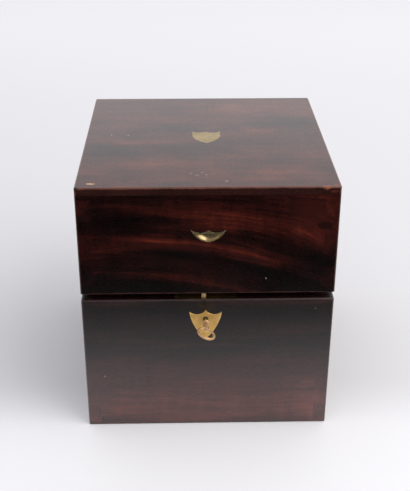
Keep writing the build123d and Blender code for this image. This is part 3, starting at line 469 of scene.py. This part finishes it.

# %% [markdown]
# The base is darker still near its rim, with a nearly black band above half its height, and a lighter, duller
# red towards the foot.

# %% The base's boards
shaded = ("#080505", "#1c0e0d", "#44201d", "#7c4038")
lock_board_bands = (
    (104.0, 28.0, -0.12, -200.0, 200.0),
    (138.0, 18.0, -0.2, -200.0, 200.0),
    (101.0, 3.5, 0.2, -70.0, 60.0),
    (150.0, 7.0, 0.14, -30.0, 200.0),
    (20.0, 100.0, 0.36, -200.0, 200.0),
)
lock_board_marks = (
    ((-106.3, front, 63.0), (1.0, 3.0, 0.8), "#8f9488", 0.8),
    ((108.0, front, 143.5), (0.9, 3.0, 0.8), "#8f7a5c", 0.8),
    ((-4.0, front, 151.0), (3.2, 4.0, 4.0), "#0c0503", 0.9),
)
lock_board_clouds = (((112.0, front, 22.0), (34.0, deep, 60.0), 0.12),)
base_worn = "#3c2a26"
base_front_wood = mahogany("mahogany_base_front", False, "X", shaded, 0.36, figure=0.45,
                           bands=lock_board_bands, clouds=lock_board_clouds, marks=lock_board_marks, seed=5,
                           worn=base_worn)
dress(base_front_wood, "base_front_board")
for side, seed in (("left", 6), ("right", 10)):
    board = mahogany(f"mahogany_base_{side}", False, "Y", shaded, 0.4, figure=0.4, bands=lock_board_bands,
                     seed=seed, end_grain=-0.04, worn=base_worn)
    dress(board, f"base_{side}_board")
back_wood = mahogany("mahogany_base_back", False, "X", shaded, 0.44, seed=7)
dress(back_wood, "base_back_board", "base_bottom_board")
print("base boards dressed")

# %% [markdown]
# The linings and dividers inside are thin and plain, and were hardly stained, so they are a paler brown.

# %% The linings
plain = ("#2b120b", "#54281a", "#7c4229", "#a5653f")
lining_pieces = ("front_lining", "back_lining", "left_lining", "right_lining", "long_divider",
                 "cross_divider")
dress(mahogany("mahogany_linings", False, "X", plain, 0.5, figure=0.7, seed=8), *lining_pieces)
print("linings dressed:", len(lining_pieces))

# %% [markdown]
# The fittings are yellow brass, about two parts copper to one of zinc, cast or cut from sheet and then
# filed and polished. Old brass keeps some lacquer and a thin dull skin, which scatters light as paint
# does, so it isn't all metal to the shader. It goes brown where fingers and polish don't reach: the
# colour and the roughness drift over about 7 mm, with spots of about 1 mm, and polishing leaves fine
# scratches along one way, 0.3 mm apart, wider than real ones, so that they show.

# %% Brass
drift_scale, spot_scale, drift_share, spot_share = 0.14, 1.1, 1.6, 0.6
scratch_scale = (0.25, 3.2, 3.2)
tarnish = 0.45


def brass(name, bright, dull, rough, on_lid=False, metal=1.0):
    """Aged brass that drifts from bright to dull."""
    made, tree, shader, coordinates = finish(name, Metallic=metal)
    place = shut_millimetres(tree, coordinates, on_lid)
    drift = node(tree, "TexNoise", {"Vector": place, "Scale": drift_scale, "Detail": 4.0, "Roughness": 0.6})
    spots = node(tree, "TexNoise", {"Vector": place, "Scale": spot_scale, "Detail": 2.0})
    least = tarnish - (drift_share + spot_share) / 2
    share = sum_of(tree, least, (drift, drift_share), (spots, spot_share))
    skin = node(tree, "Mix", {0: share, 6: colour(bright), 7: colour(dull)}, **tint)
    lines = node(tree, "VectorMath", {0: place, 1: scratch_scale}, operation="MULTIPLY")
    scratches = node(tree, "TexNoise", {"Vector": lines, "Scale": 1.0, "Detail": 2.0})
    gloss = sum_of(tree, rough - 0.12, (drift, 0.16), (scratches, 0.1))
    bump = node(tree, "Bump", {"Height": scratches, "Strength": 0.1, "Distance": 0.05 * MM})
    for signal, socket in ((skin, "Base Color"), (gloss, "Roughness"), (bump, "Normal")):
        tree.links.new(signal, shader.inputs[socket])
    return made


dress(brass("inlaid_brass_shield", "#fbe6bc", "#d6be92", 0.4, True, metal=0.8), "top_cartouche")
pull_brass = brass("scooped_brass_pull", "#f6e6b8", "#cdb47c", 0.24, True, metal=0.9)
escutcheon_brass = brass("escutcheon_brass", "#fbd080", "#d2a052", 0.34, metal=0.5)
dress(brass("lock_brass", "#c0a064", "#80663a", 0.4), "lock_case", "lock_plate", "lock_selvedge", "lock_bolt",
      "base_hinge_leaf_left", "base_hinge_leaf_right")
dress(brass("lid_fittings_brass", "#e8c478", "#a8803c", 0.28, True), "lid_hinge_leaf_left",
      "lid_hinge_leaf_right")
# The staple's brass is paler and half diffuse: partly its worn brass colour, partly a painted highlight for
# the bright edge that no lamp lights inside the gap.
staple_brass_painted_highlight = brass("staple_brass_painted_highlight", "#ffe8b4", "#d8ac64", 0.24, True, metal=0.5)
key_brass = brass("key_brass", "#ffd8a4", "#dca068", 0.26, metal=0.5)
screw_brass = brass("screw_brass", "#c4a464", "#80683a", 0.4)
print("brass dressed")

# %% [markdown]
# The key's pipe and bit, the drill pin, studs, spring and hinge pins are wrought iron or steel: grey,
# worn bright where they rub, with brown rust in pits of about 1.2 mm.

# %% Iron
iron, tree, shader, coordinates = finish("worn_iron", Metallic=1.0)
rust = node(tree, "TexNoise", {"Vector": coordinates, "Scale": 0.8 / MM, "Detail": 4.0})
share = node(tree, "MapRange", {0: rust, 1: 0.5, 2: 0.68, 3: 0.0, 4: 0.8})
skin = node(tree, "Mix", {0: share, 6: colour("#9a9896"), 7: colour("#4a3225")}, **tint)
tree.links.new(skin, shader.inputs["Base Color"])
tree.links.new(sum_of(tree, 0.3, (share, 0.35)), shader.inputs["Roughness"])
dress(iron, "key_pipe", "drill_pin", "bolt_studs", "lock_spring", "hinge_pins")
print("iron dressed")

# %% [markdown]
# The decanters are clear lead glass, whose index is a little above window glass, with the faint green
# of old batches. Their flats are ground and polished, so the roughness is almost nought, with smears of
# about 17 mm where they were held.

# %% Glass
glass, tree, shader, coordinates = finish("decanter_glass", Transmission_Weight=1.0, IOR=1.55)
shader.inputs["Base Color"].default_value = colour("#f0f6f2")
smears = node(tree, "TexNoise", {"Vector": coordinates, "Scale": 60.0, "Detail": 3.0})
smeared = node(tree, "MapRange", {0: smears, 1: 0.45, 2: 0.7, 3: 0.01, 4: 0.07})
tree.links.new(smeared, shader.inputs["Roughness"])
for row in ("front", "back"):
    for side in ("left", "right"):
        dress(glass, f"decanter_{row}_{side}", f"stopper_{row}_{side}")
print("glass dressed")

# %% [markdown]
# New pieces are shaped in millimetres of the shut box, and those of the lid are then swung open with it.
# The last helper scales a shape to metres and makes it an object that rides on its body and stands for
# its CAD node. The first two pass between shapes and objects, for a Boolean or a remesh.

# %% Finish a piece
def placed(name, form):
    """A new object with this shape, which is used up."""
    mesh = bpy.data.meshes.new(name)
    form.to_mesh(mesh)
    form.free()
    thing = bpy.data.objects.new(name, mesh)
    bpy.context.scene.collection.objects.link(thing)
    return thing


def modified(thing):
    """The shape of an object with its modifiers applied. The object is used up."""
    result = thing.evaluated_get(bpy.context.evaluated_depsgraph_get())
    form = bmesh.new()
    form.from_mesh(bpy.data.meshes.new_from_object(result))
    bpy.data.objects.remove(thing)
    return form


def swing_open(form):
    """Turns a shape of the lid from shut to where the lid stands."""
    centre = Vector((0.0, hinge_y, hinge_z))
    bmesh.ops.rotate(form, cent=centre, matrix=Matrix.Rotation(-lid_ajar, 3, "X"), verts=form.verts)


def finish_piece(name, form, body, stands_for, material, smooth_below=40.0):
    """An object from a shape in millimetres, smooth across edges flatter than some angle."""
    bmesh.ops.scale(form, vec=(MM, MM, MM), verts=form.verts)
    for face in form.faces:
        face.smooth = True
    for edge in form.edges:
        edge.smooth = len(edge.link_faces) == 2 and edge.calc_face_angle() < radians(smooth_below)
    piece = placed(name, form)
    piece.data.materials.append(material)
    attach(piece, body)
    if stands_for:
        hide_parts(*stands_for)
    print(name, len(piece.data.polygons), "faces")
    return piece


# %% [markdown]
# Small solids are turned, joined and cut. A cut is a Boolean, because the walls of a slot or a keyhole
# can't be spun.

# %% Turn, join and cut
def spun(profile, steps):
    """A closed solid from a half profile of (radius, height), spun about Z."""
    form = bmesh.new()
    ring = [form.verts.new((radius, 0.0, height)) for radius, height in profile]
    edges = [form.edges.new(pair) for pair in zip(ring, ring[1:])]
    bmesh.ops.spin(form, geom=ring + edges, cent=(0, 0, 0), axis=(0, 0, 1), dvec=(0, 0, 0), angle=2 * pi,
                   steps=steps, use_merge=True)
    bmesh.ops.remove_doubles(form, verts=form.verts, dist=0.001)
    bmesh.ops.recalc_face_normals(form, faces=form.faces)
    return form


def join(target, form, place):
    """Adds a copy of one shape to another, placed by a matrix."""
    part = form.copy()
    bmesh.ops.transform(part, matrix=place, verts=part.verts)
    mesh = bpy.data.meshes.new("join")
    part.to_mesh(mesh)
    part.free()
    target.from_mesh(mesh)
    bpy.data.meshes.remove(mesh)


def carved(form, cutters):
    """The shape with each cutter taken out of it by a Boolean."""
    solid = placed("uncut", form)
    tools = [placed("cutter", cutter) for cutter in cutters]
    for tool in tools:
        cut = solid.modifiers.new("cut", "BOOLEAN")
        cut.operation, cut.object, cut.solver = "DIFFERENCE", tool, "EXACT"
    result = modified(solid)
    for tool in tools:
        bpy.data.objects.remove(tool)
    return result


def block(size, middle):
    """A plain block."""
    form = bmesh.new()
    bmesh.ops.create_cube(form, size=1.0, matrix=Matrix.Translation(middle) @ Matrix.Diagonal((*size, 1.0)))
    return form


print("lathe and saw ready")

# %% [markdown]
# The screws are turned brass with a flat countersunk head and a slot filed across it. A bevel on their
# edges would be finer than half a millimetre, which shows in no view, so they have none.

# %% A slotted screw
head_radius, shank_radius, screw_long, slot_wide, slot_deep = 2.25, 1.08, 9.9, 0.7, 0.6
screw_profile = ((0.0, 0.0), (head_radius - 0.1, 0.0), (head_radius, -0.12), (shank_radius, -1.2),
                 (shank_radius, -screw_long + 2.4), (0.0, -screw_long))
slot = block((3 * head_radius, slot_wide, 2 * slot_deep), (0, 0, 0))
screw = carved(spun(screw_profile, 20), (slot,))
print("screw:", len(screw.faces), "faces")

# %% [markdown]
# Each screw sits in its countersink with its slot turned another way, as screws driven by hand do.

# %% Set the screws
hinge_at, hinge_screw_at, hinge_screw_y = 70.0, 12.5, 124.075
face_down = Matrix.Rotation(pi, 4, "X")
face_back = Matrix.Rotation(-pi / 2, 4, "X")
face_up = Matrix.Identity(4)
lock_screw_out, selvedge_screw_y, plate_screw_y, plate_screw_z = 28.2, -126.8, front + 13.5, 133.0
slot_turn, set_turn = 47.0, 31.0
hinge_spots = [(side * hinge_at + step * hinge_screw_at, hinge_screw_y) for side in (-1, 1)
               for step in (-1, 1)]
screw_sets = {
    "base_hinge_screws": ("base", [((x, y, base_height), face_up) for x, y in hinge_spots]),
    "lid_hinge_screws": ("lid", [((x, y, lid_rim), face_down) for x, y in hinge_spots]),
    "lock_screws": ("base", [((lock_x + side * lock_screw_out, selvedge_screw_y, base_height), face_up)
                             for side in (-1, 1)]
                    + [((lock_x + side * lock_screw_out, plate_screw_y, plate_screw_z), face_back)
                       for side in (-1, 1)]),
    "link_screws": ("lid", [((staple_x + side * link_screw_out, link_plate_y, lid_rim), face_down)
                            for side in (-1, 1)]),
}
for count, (name, (body, spots)) in enumerate(screw_sets.items()):
    form = bmesh.new()
    for step, (spot, way) in enumerate(spots):
        turn = Matrix.Rotation(radians(slot_turn * step + set_turn * count), 4, "Z")
        join(form, screw, Matrix.Translation(spot) @ way @ turn)
    if body == "lid":
        swing_open(form)
    finish_piece("slotted_" + name, form, body, [name], screw_brass, smooth_below=30.0)
screw.free()

# %% [markdown]
# The key's bow is one casting: a collar, a shank that narrows to the bow, and a ring whose wire is round
# from years of fingers. It could be three overlapping shapes, but a casting has soft hollows where they
# meet. The three are remeshed to one skin with voxels of 0.3 mm and smoothed.

# %% The key's bow
bow_profile = ((0.0, 7.0), (3.3, 7.0), (3.6, 7.3), (3.6, 8.7), (3.3, 9.0), (3.0, 9.2), (2.95, 9.8),
               (3.0, 14.0), (2.6, 19.0), (2.2, 21.0), (0.0, 21.4))
wire, ring_radius, ring_middle = 1.35, 8.33, 27.3
bow = spun(bow_profile, 48)
ring = bmesh.new()
bmesh.ops.create_circle(ring, segments=20, radius=wire, matrix=Matrix.Translation((0, ring_radius, 0)))
bmesh.ops.spin(ring, geom=ring.verts[:] + ring.edges[:], cent=(0, 0, 0), axis=(1, 0, 0), dvec=(0, 0, 0),
               angle=2 * pi, steps=64, use_merge=True)
bmesh.ops.recalc_face_normals(ring, faces=ring.faces)
print("ring, mm:", [round(2 * max(v.co[i] for v in ring.verts), 2) for i in range(3)])
join(bow, ring, Matrix.Translation((0, 0, ring_middle)))
ring.free()
casting = placed("bow_parts", bow)
fuse = casting.modifiers.new("fuse", "REMESH")
fuse.mode, fuse.voxel_size = "VOXEL", 0.3
soften = casting.modifiers.new("soften", "SMOOTH")
soften.factor, soften.iterations = 0.5, 6
bow = modified(casting)
keyhole = Vector((lock_x, front, lock_z))
face_out = Matrix.Rotation(pi / 2, 4, "X")
key_out = Matrix.Translation(keyhole) @ Matrix.Rotation(-key_rest, 4, "Y") @ face_out
bmesh.ops.transform(bow, matrix=key_out, verts=bow.verts)
finish_piece("cast_key_bow", bow, "key", ["key_bow"], key_brass, smooth_below=180.0)

# %% [markdown]
# Between the lock and the collar the iron barrel shows, black with a bright line along its top. The
# packed barrel ends 3 mm in front of the face, so a turned iron shoulder takes it on to the collar.

# %% The barrel's shoulder
shoulder = spun(((0.0, 3.0), (2.3, 3.0), (2.35, 3.3), (2.35, 6.4), (2.6, 6.8), (2.6, 7.1), (0.0, 7.1)), 32)
bmesh.ops.transform(shoulder, matrix=key_out, verts=shoulder.verts)
finish_piece("key_barrel_shoulder", shoulder, "key", [], iron, smooth_below=30.0)

# %% [markdown]
# The two front fittings are shields cut from brass sheet. Half of an outline is a few arcs, each given by
# where it ends and a place on its way, and a spin draws it. A circle operator can't draw a shield. The
# half is mirrored and filled, the face is extruded to a plate, and its front rim gets a rounded bevel.

# %% A shield of sheet brass
def draw_arc(form, vert, through, end, steps=14):
    """Spins a vertex along the arc through a place to an end, and returns the last vertex."""
    start = Vector((vert.co.x, vert.co.z))
    a, b = Vector(through) - start, Vector(end) - start
    bend = 2 * a.cross(b)
    if abs(bend) < 0.002:
        last = bmesh.ops.extrude_vert_indiv(form, verts=[vert])["verts"][0]
        last.co = (end[0], 0.0, end[1])
        return last
    a_square, b_square = a.dot(a), b.dot(b)
    out = Vector((b.y * a_square - a.y * b_square, a.x * b_square - b.x * a_square)) / bend
    centre = start + out
    spin = bmesh.ops.spin(form, geom=[vert], cent=(centre.x, 0, centre.y), axis=(0, 1, 0), dvec=(0, 0, 0),
                          angle=(start - centre).angle_signed(Vector(end) - centre), steps=steps)
    return next(v for v in spin["geom_last"] if isinstance(v, bmesh.types.BMVert))


def shield_plate(width, long, dip, peak, cheek, belly, thick, bevel):
    """A shield with its tips level at zero and its front at zero, the plate behind it."""
    form = bmesh.new()
    last = draw_arc(form, form.verts.new((0, 0, peak)), (width / 4, -dip), (width / 2, 0))
    if cheek:
        last = draw_arc(form, last, (width / 2, -cheek / 2), (width / 2, -cheek))
    draw_arc(form, last, belly, (0, -long))
    bmesh.ops.mirror(form, geom=form.verts[:] + form.edges[:], matrix=Matrix(), merge_dist=0.01, axis="X")
    bmesh.ops.contextual_create(form, geom=form.edges[:])
    grown = bmesh.ops.extrude_face_region(form, geom=form.faces[:])
    back = [v for v in grown["geom"] if isinstance(v, bmesh.types.BMVert)]
    bmesh.ops.translate(form, vec=(0, thick, 0), verts=back)
    rim = [e for e in form.edges if all(abs(v.co.y) < 0.001 for v in e.verts)]
    bmesh.ops.bevel(form, geom=rim, offset=bevel, segments=4, profile=0.5, affect="EDGES", material=-1)
    bmesh.ops.recalc_face_normals(form, faces=form.faces)
    return form


print("shield tools ready")

# %% [markdown]
# The escutcheon stands 0.7 mm proud. The keyhole is a round eye with a slit below it, cut by a cylinder
# and a block.

# %% The escutcheon
eye_radius, slit_wide, slit_long, right_through = 2.8, 3.2, 7.2, 8.0
proud, escutcheon_z = 0.68, base_height - 13.9
plate = shield_plate(width=32.3, long=33.0, dip=3.2, peak=1.9, cheek=3.0, belly=(12.4, -15.0), thick=1.65,
                     bevel=1.0)
bmesh.ops.translate(plate, vec=(lock_x, front - proud, escutcheon_z), verts=plate.verts)
eye = bmesh.new()
bmesh.ops.create_cone(eye, cap_ends=True, segments=32, radius1=eye_radius, radius2=eye_radius,
                      depth=right_through, matrix=Matrix.Translation(keyhole) @ face_out)
slit = block((slit_wide, right_through, slit_long), keyhole - Vector((0, 0, slit_long / 2)))
finish_piece("filed_escutcheon", carved(plate, (eye, slit)), "base", ["escutcheon"],
             escutcheon_brass, smooth_below=25.0)

# %% [markdown]
# The finger pull is a thick shield with a smooth scoop, deepest under a flat ledge. The scoop is part of
# an egg shape: a sphere stretched along each axis, its middle above and in front of the ledge, so that
# the metal faces up and catches the light. A bisect takes off what lies above the ledge.

# %% The finger pull
pull_x, pull_z, let_in, ledge = 0.4, lid_top - 43.6, 0.03, 5.0
egg_middle, egg_radii = (0.0, -2.0, 5.0), (14.6, 8.5, 13.85)
plate = shield_plate(width=34.8, long=14.0, dip=3.7, peak=-0.9, cheek=0, belly=(11.4, -8.7), thick=8.1,
                     bevel=0.25)
bmesh.ops.translate(plate, vec=(pull_x, front + let_in, pull_z), verts=plate.verts)
egg = bmesh.new()
bmesh.ops.create_uvsphere(egg, u_segments=96, v_segments=64, radius=1.0)
bmesh.ops.scale(egg, vec=egg_radii, verts=egg.verts)
bmesh.ops.translate(egg, vec=egg_middle, verts=egg.verts)
cut_plane = bmesh.ops.bisect_plane(egg, geom=egg.verts[:] + egg.edges[:] + egg.faces[:], plane_co=(0, 0, 0),
                                   plane_no=(0, 0, 1), clear_outer=True)
cut_edges = [e for e in cut_plane["geom_cut"] if isinstance(e, bmesh.types.BMEdge)]
bmesh.ops.contextual_create(egg, geom=cut_edges)
bmesh.ops.recalc_face_normals(egg, faces=egg.faces)
bmesh.ops.translate(egg, vec=(pull_x, front, pull_z - ledge), verts=egg.verts)
pull = carved(plate, (egg,))
swing_open(pull)
finish_piece("scooped_finger_pull", pull, "lid", ["finger_pull"], pull_brass,
             smooth_below=30.0)

# %% [markdown]
# The staple hangs from a plate in the lid's rim, and the bolt goes through its eye. Years of closing have
# rounded its edges, so they are bevelled well over a millimetre.

# %% The staple and its plate
staple_wide, staple_deep, staple_long, staple_round = 4.4, 5.2, 9.85, 1.3
staple_y, staple_top, eye_z = front + 7.2, lid_rim + 0.05, base_height - 6.1
eye_size, plate_size, sink_wide, sink_narrow, sink_deep = (8.0, 2.8, 3.8), (32.0, 9.0, 1.6), 2.36, 0.9, 2.0
staple = block((staple_wide, staple_deep, staple_long), (staple_x, staple_y, staple_top - staple_long / 2))
bmesh.ops.bevel(staple, geom=staple.edges[:], offset=staple_round, segments=5, profile=0.5, affect="EDGES",
                material=-1)
staple = carved(staple, (block(eye_size, (staple_x, staple_y, eye_z)),))
countersinks = []
for side in (-1, 1):
    sink_place = (staple_x + side * link_screw_out, link_plate_y, lid_rim + 0.95)
    sink = bmesh.new()
    bmesh.ops.create_cone(sink, cap_ends=True, segments=24, radius1=sink_wide, radius2=sink_narrow,
                          depth=sink_deep, matrix=Matrix.Translation(sink_place))
    countersinks.append(sink)
plate = block(plate_size, (staple_x, link_plate_y, lid_rim + plate_size[2] / 2))
plate = carved(plate, countersinks)
join(plate, staple, Matrix.Identity(4))
staple.free()
swing_open(plate)
finish_piece("worn_staple", plate, "lid", ["link_plate"], staple_brass_painted_highlight, smooth_below=30.0)

# %% [markdown]
# Baize is a woollen cloth with a felted nap, glued to the floor and under the top. The glued cloth is a
# sheet 1.6 mm thick that isn't quite flat. Its nap is too fine to see, so the clots of 1.5 mm that
# wear leaves in it stand for it.

# %% Baize
baize, tree, shader, coordinates = finish("green_baize", Sheen_Weight=0.4, Sheen_Roughness=0.5)
nap = node(tree, "TexNoise", {"Vector": coordinates, "Scale": 650.0, "Detail": 4.0})
faded_cloth = node(tree, "TexNoise", {"Vector": coordinates, "Scale": 14.0, "Detail": 3.0})
shade = sum_of(tree, -0.1, (nap, 0.7), (faded_cloth, 0.5))
felt = node(tree, "ValToRGB", {0: shade}, stops=((0.3, "#152c1d"), (0.55, "#23452f"), (0.8, "#3b6145")))
tree.links.new(felt, shader.inputs["Base Color"])
tree.links.new(sum_of(tree, 0.85, (nap, 0.2)), shader.inputs["Roughness"])
bump = node(tree, "Bump", {"Height": nap, "Strength": 0.6, "Distance": 0.4 * MM})
tree.links.new(bump, shader.inputs["Normal"])
print("baize ready")

# %% [markdown]
# A cloth is a grid raised a little by smooth noise, thickened, and laid in the middle of the 2 mm that the
# box leaves for it.

# %% Lay the baize
cloth_thick, cloth_x, cloth_y, cloth_room = 1.6, 112.3, 120.3, 2.0
uneven, uneven_over = 0.12, 14.0


def cloth(low, seed):
    """A glued sheet of baize with a slightly uneven face, as a closed shape."""
    form = bmesh.new()
    bmesh.ops.create_grid(form, x_segments=64, y_segments=68, size=1.0)
    bmesh.ops.scale(form, vec=(cloth_x, cloth_y, 1.0), verts=form.verts)
    for vert in form.verts:
        vert.co.z = uneven * noise.noise(vert.co / uneven_over + Vector((seed, 0, 0)))
    bmesh.ops.solidify(form, geom=form.faces, thickness=cloth_thick)
    bmesh.ops.recalc_face_normals(form, faces=form.faces)
    middle = (max(v.co.z for v in form.verts) + min(v.co.z for v in form.verts)) / 2
    bmesh.ops.translate(form, vec=(0, 0, low + cloth_room / 2 - middle), verts=form.verts)
    return form


floor_cloth = finish_piece("floor_baize_cloth", cloth(8.0, 3), "base", ["floor_baize"], baize)
lid_form = cloth(lid_top - 10.0, 7)
swing_open(lid_form)
lid_cloth = finish_piece("lid_baize_cloth", lid_form, "lid", ["lid_baize"], baize)

# %% [markdown]
# The photograph was taken in a white studio with a dark room behind the camera. The floor is one large
# plane. For the camera it is plain and pale, with a little light of its own far off and at the box's
# foot. In the polish it is pale near the box and falls away to dark in front, as a studio table does. The
# places are metres behind the box's middle.

# %% Floor
floor_half, dark_at, pale_at = 6.0, -0.45, -0.12
far_from, far_full, far_glow = 0.3, 1.6, 0.16
foot_full, foot_out, foot_glow = -0.16, -0.05, 0.14
plane = bmesh.new()
bmesh.ops.create_grid(plane, x_segments=1, y_segments=1, size=floor_half)
floor = placed("studio_floor", plane)
paper, tree, shader, coordinates = finish("pale_paper_floor", Roughness=0.9, Specular_IOR_Level=0.1)
ahead = node(tree, "SeparateXYZ", {0: coordinates}, out=1)
near_box = node(tree, "MapRange", {0: ahead, 1: dark_at, 2: pale_at, 3: 0.0, 4: 1.0}, **smooth)
in_polish = node(tree, "LightPath", out=3)
pale = colour("#f3f3f6")
lit = node(tree, "Mix", {0: near_box, 6: colour("#030303"), 7: pale}, **tint)
paper_shade = node(tree, "Mix", {0: in_polish, 6: pale, 7: lit}, **tint)
tree.links.new(paper_shade, shader.inputs["Base Color"])
far = node(tree, "MapRange", {0: ahead, 1: far_from, 2: far_full, 3: 0.0, 4: far_glow}, **smooth)
foot = node(tree, "MapRange", {0: ahead, 1: foot_full, 2: foot_out, 3: foot_glow, 4: 0.0}, **smooth)
to_camera = node(tree, "LightPath", out=0)
glow = node(tree, "Math", {0: sum_of(tree, far, (foot, 1.0)), 1: to_camera}, operation="MULTIPLY")
shader.inputs["Emission Color"].default_value = pale
tree.links.new(glow, shader.inputs["Emission Strength"])
floor.data.materials.append(paper)
print("floor laid")

# %% [markdown]
# The white world stands for the studio's walls. What the polish and the brass mirror is another matter:
# the paper behind the box, which is bright up to about 15 degrees above the floor and dim from 30, a soft
# box overhead, and little in front. Light Path tells a mirrored ray from one that only brings light. The
# heights are sines: 0.26 is 15 degrees.

# %% World
paper_full, paper_out, paper_bright, paper_dim = 0.26, 0.5, 0.68, 0.2
box_from, box_full, box_bright, room_bright = 0.6, 0.95, 0.16, 0.015
back_from, back_full, wall_light, wall_seen = -0.3, 0.5, 0.79, 0.97
world = bpy.data.worlds.new("white_studio")
bpy.context.scene.world = world
world.use_nodes = True
tree = world.node_tree
sky = tree.nodes["Background"]
_, back, up = node(tree, "SeparateXYZ", {0: node(tree, "TexCoord")}).node.outputs
behind = node(tree, "MapRange", {0: back, 1: back_from, 2: back_full, 3: 0.0, 4: 1.0}, **smooth)
paper_up = {0: up, 1: paper_full, 2: paper_out, 3: paper_bright, 4: paper_dim}
paper_behind = node(tree, "MapRange", paper_up, **smooth)
overhead = node(tree, "MapRange", {0: up, 1: box_from, 2: box_full, 3: 0.0, 4: box_bright}, **smooth)
paper_behind = node(tree, "Math", {0: behind, 1: paper_behind}, operation="MULTIPLY")
mirror_light = sum_of(tree, room_bright, (paper_behind, 1.0), (overhead, 1.0))
seen = node(tree, "LightPath", out=0)
mirrored = node(tree, "LightPath", out=3)
soft = node(tree, "Mix", {0: mirrored, 2: wall_light, 3: mirror_light})
power = node(tree, "Mix", {0: seen, 2: soft, 3: wall_seen})
sky.inputs["Color"].default_value = colour("#f8f8fb")
tree.links.new(power, sky.inputs["Strength"])
print("world lit")

# %% [markdown]
# The lamp is a disc 2.1 m across, above and to the right. A disc that broad gives the shadow its soft
# edge, which a small lamp wouldn't.

# %% Lamp
lamp_place, lamp_target = Vector((1.3, -0.75, 1.7)), Vector((0, 0, 0.12))
data = bpy.data.lights.new("soft_lamp_right", "AREA")
data.shape = "DISK"
data.size = 2.1
data.energy = 20.0
data.color = colour("#fffaf4")[:3]
lamp = bpy.data.objects.new("soft_lamp_right", data)
bpy.context.scene.collection.objects.link(lamp)
towards = (lamp_target - lamp_place).to_track_quat("-Z", "Y")
lamp.matrix_world = Matrix.Translation(lamp_place) @ towards.to_matrix().to_4x4()
print("lamp:", data.energy, "W")
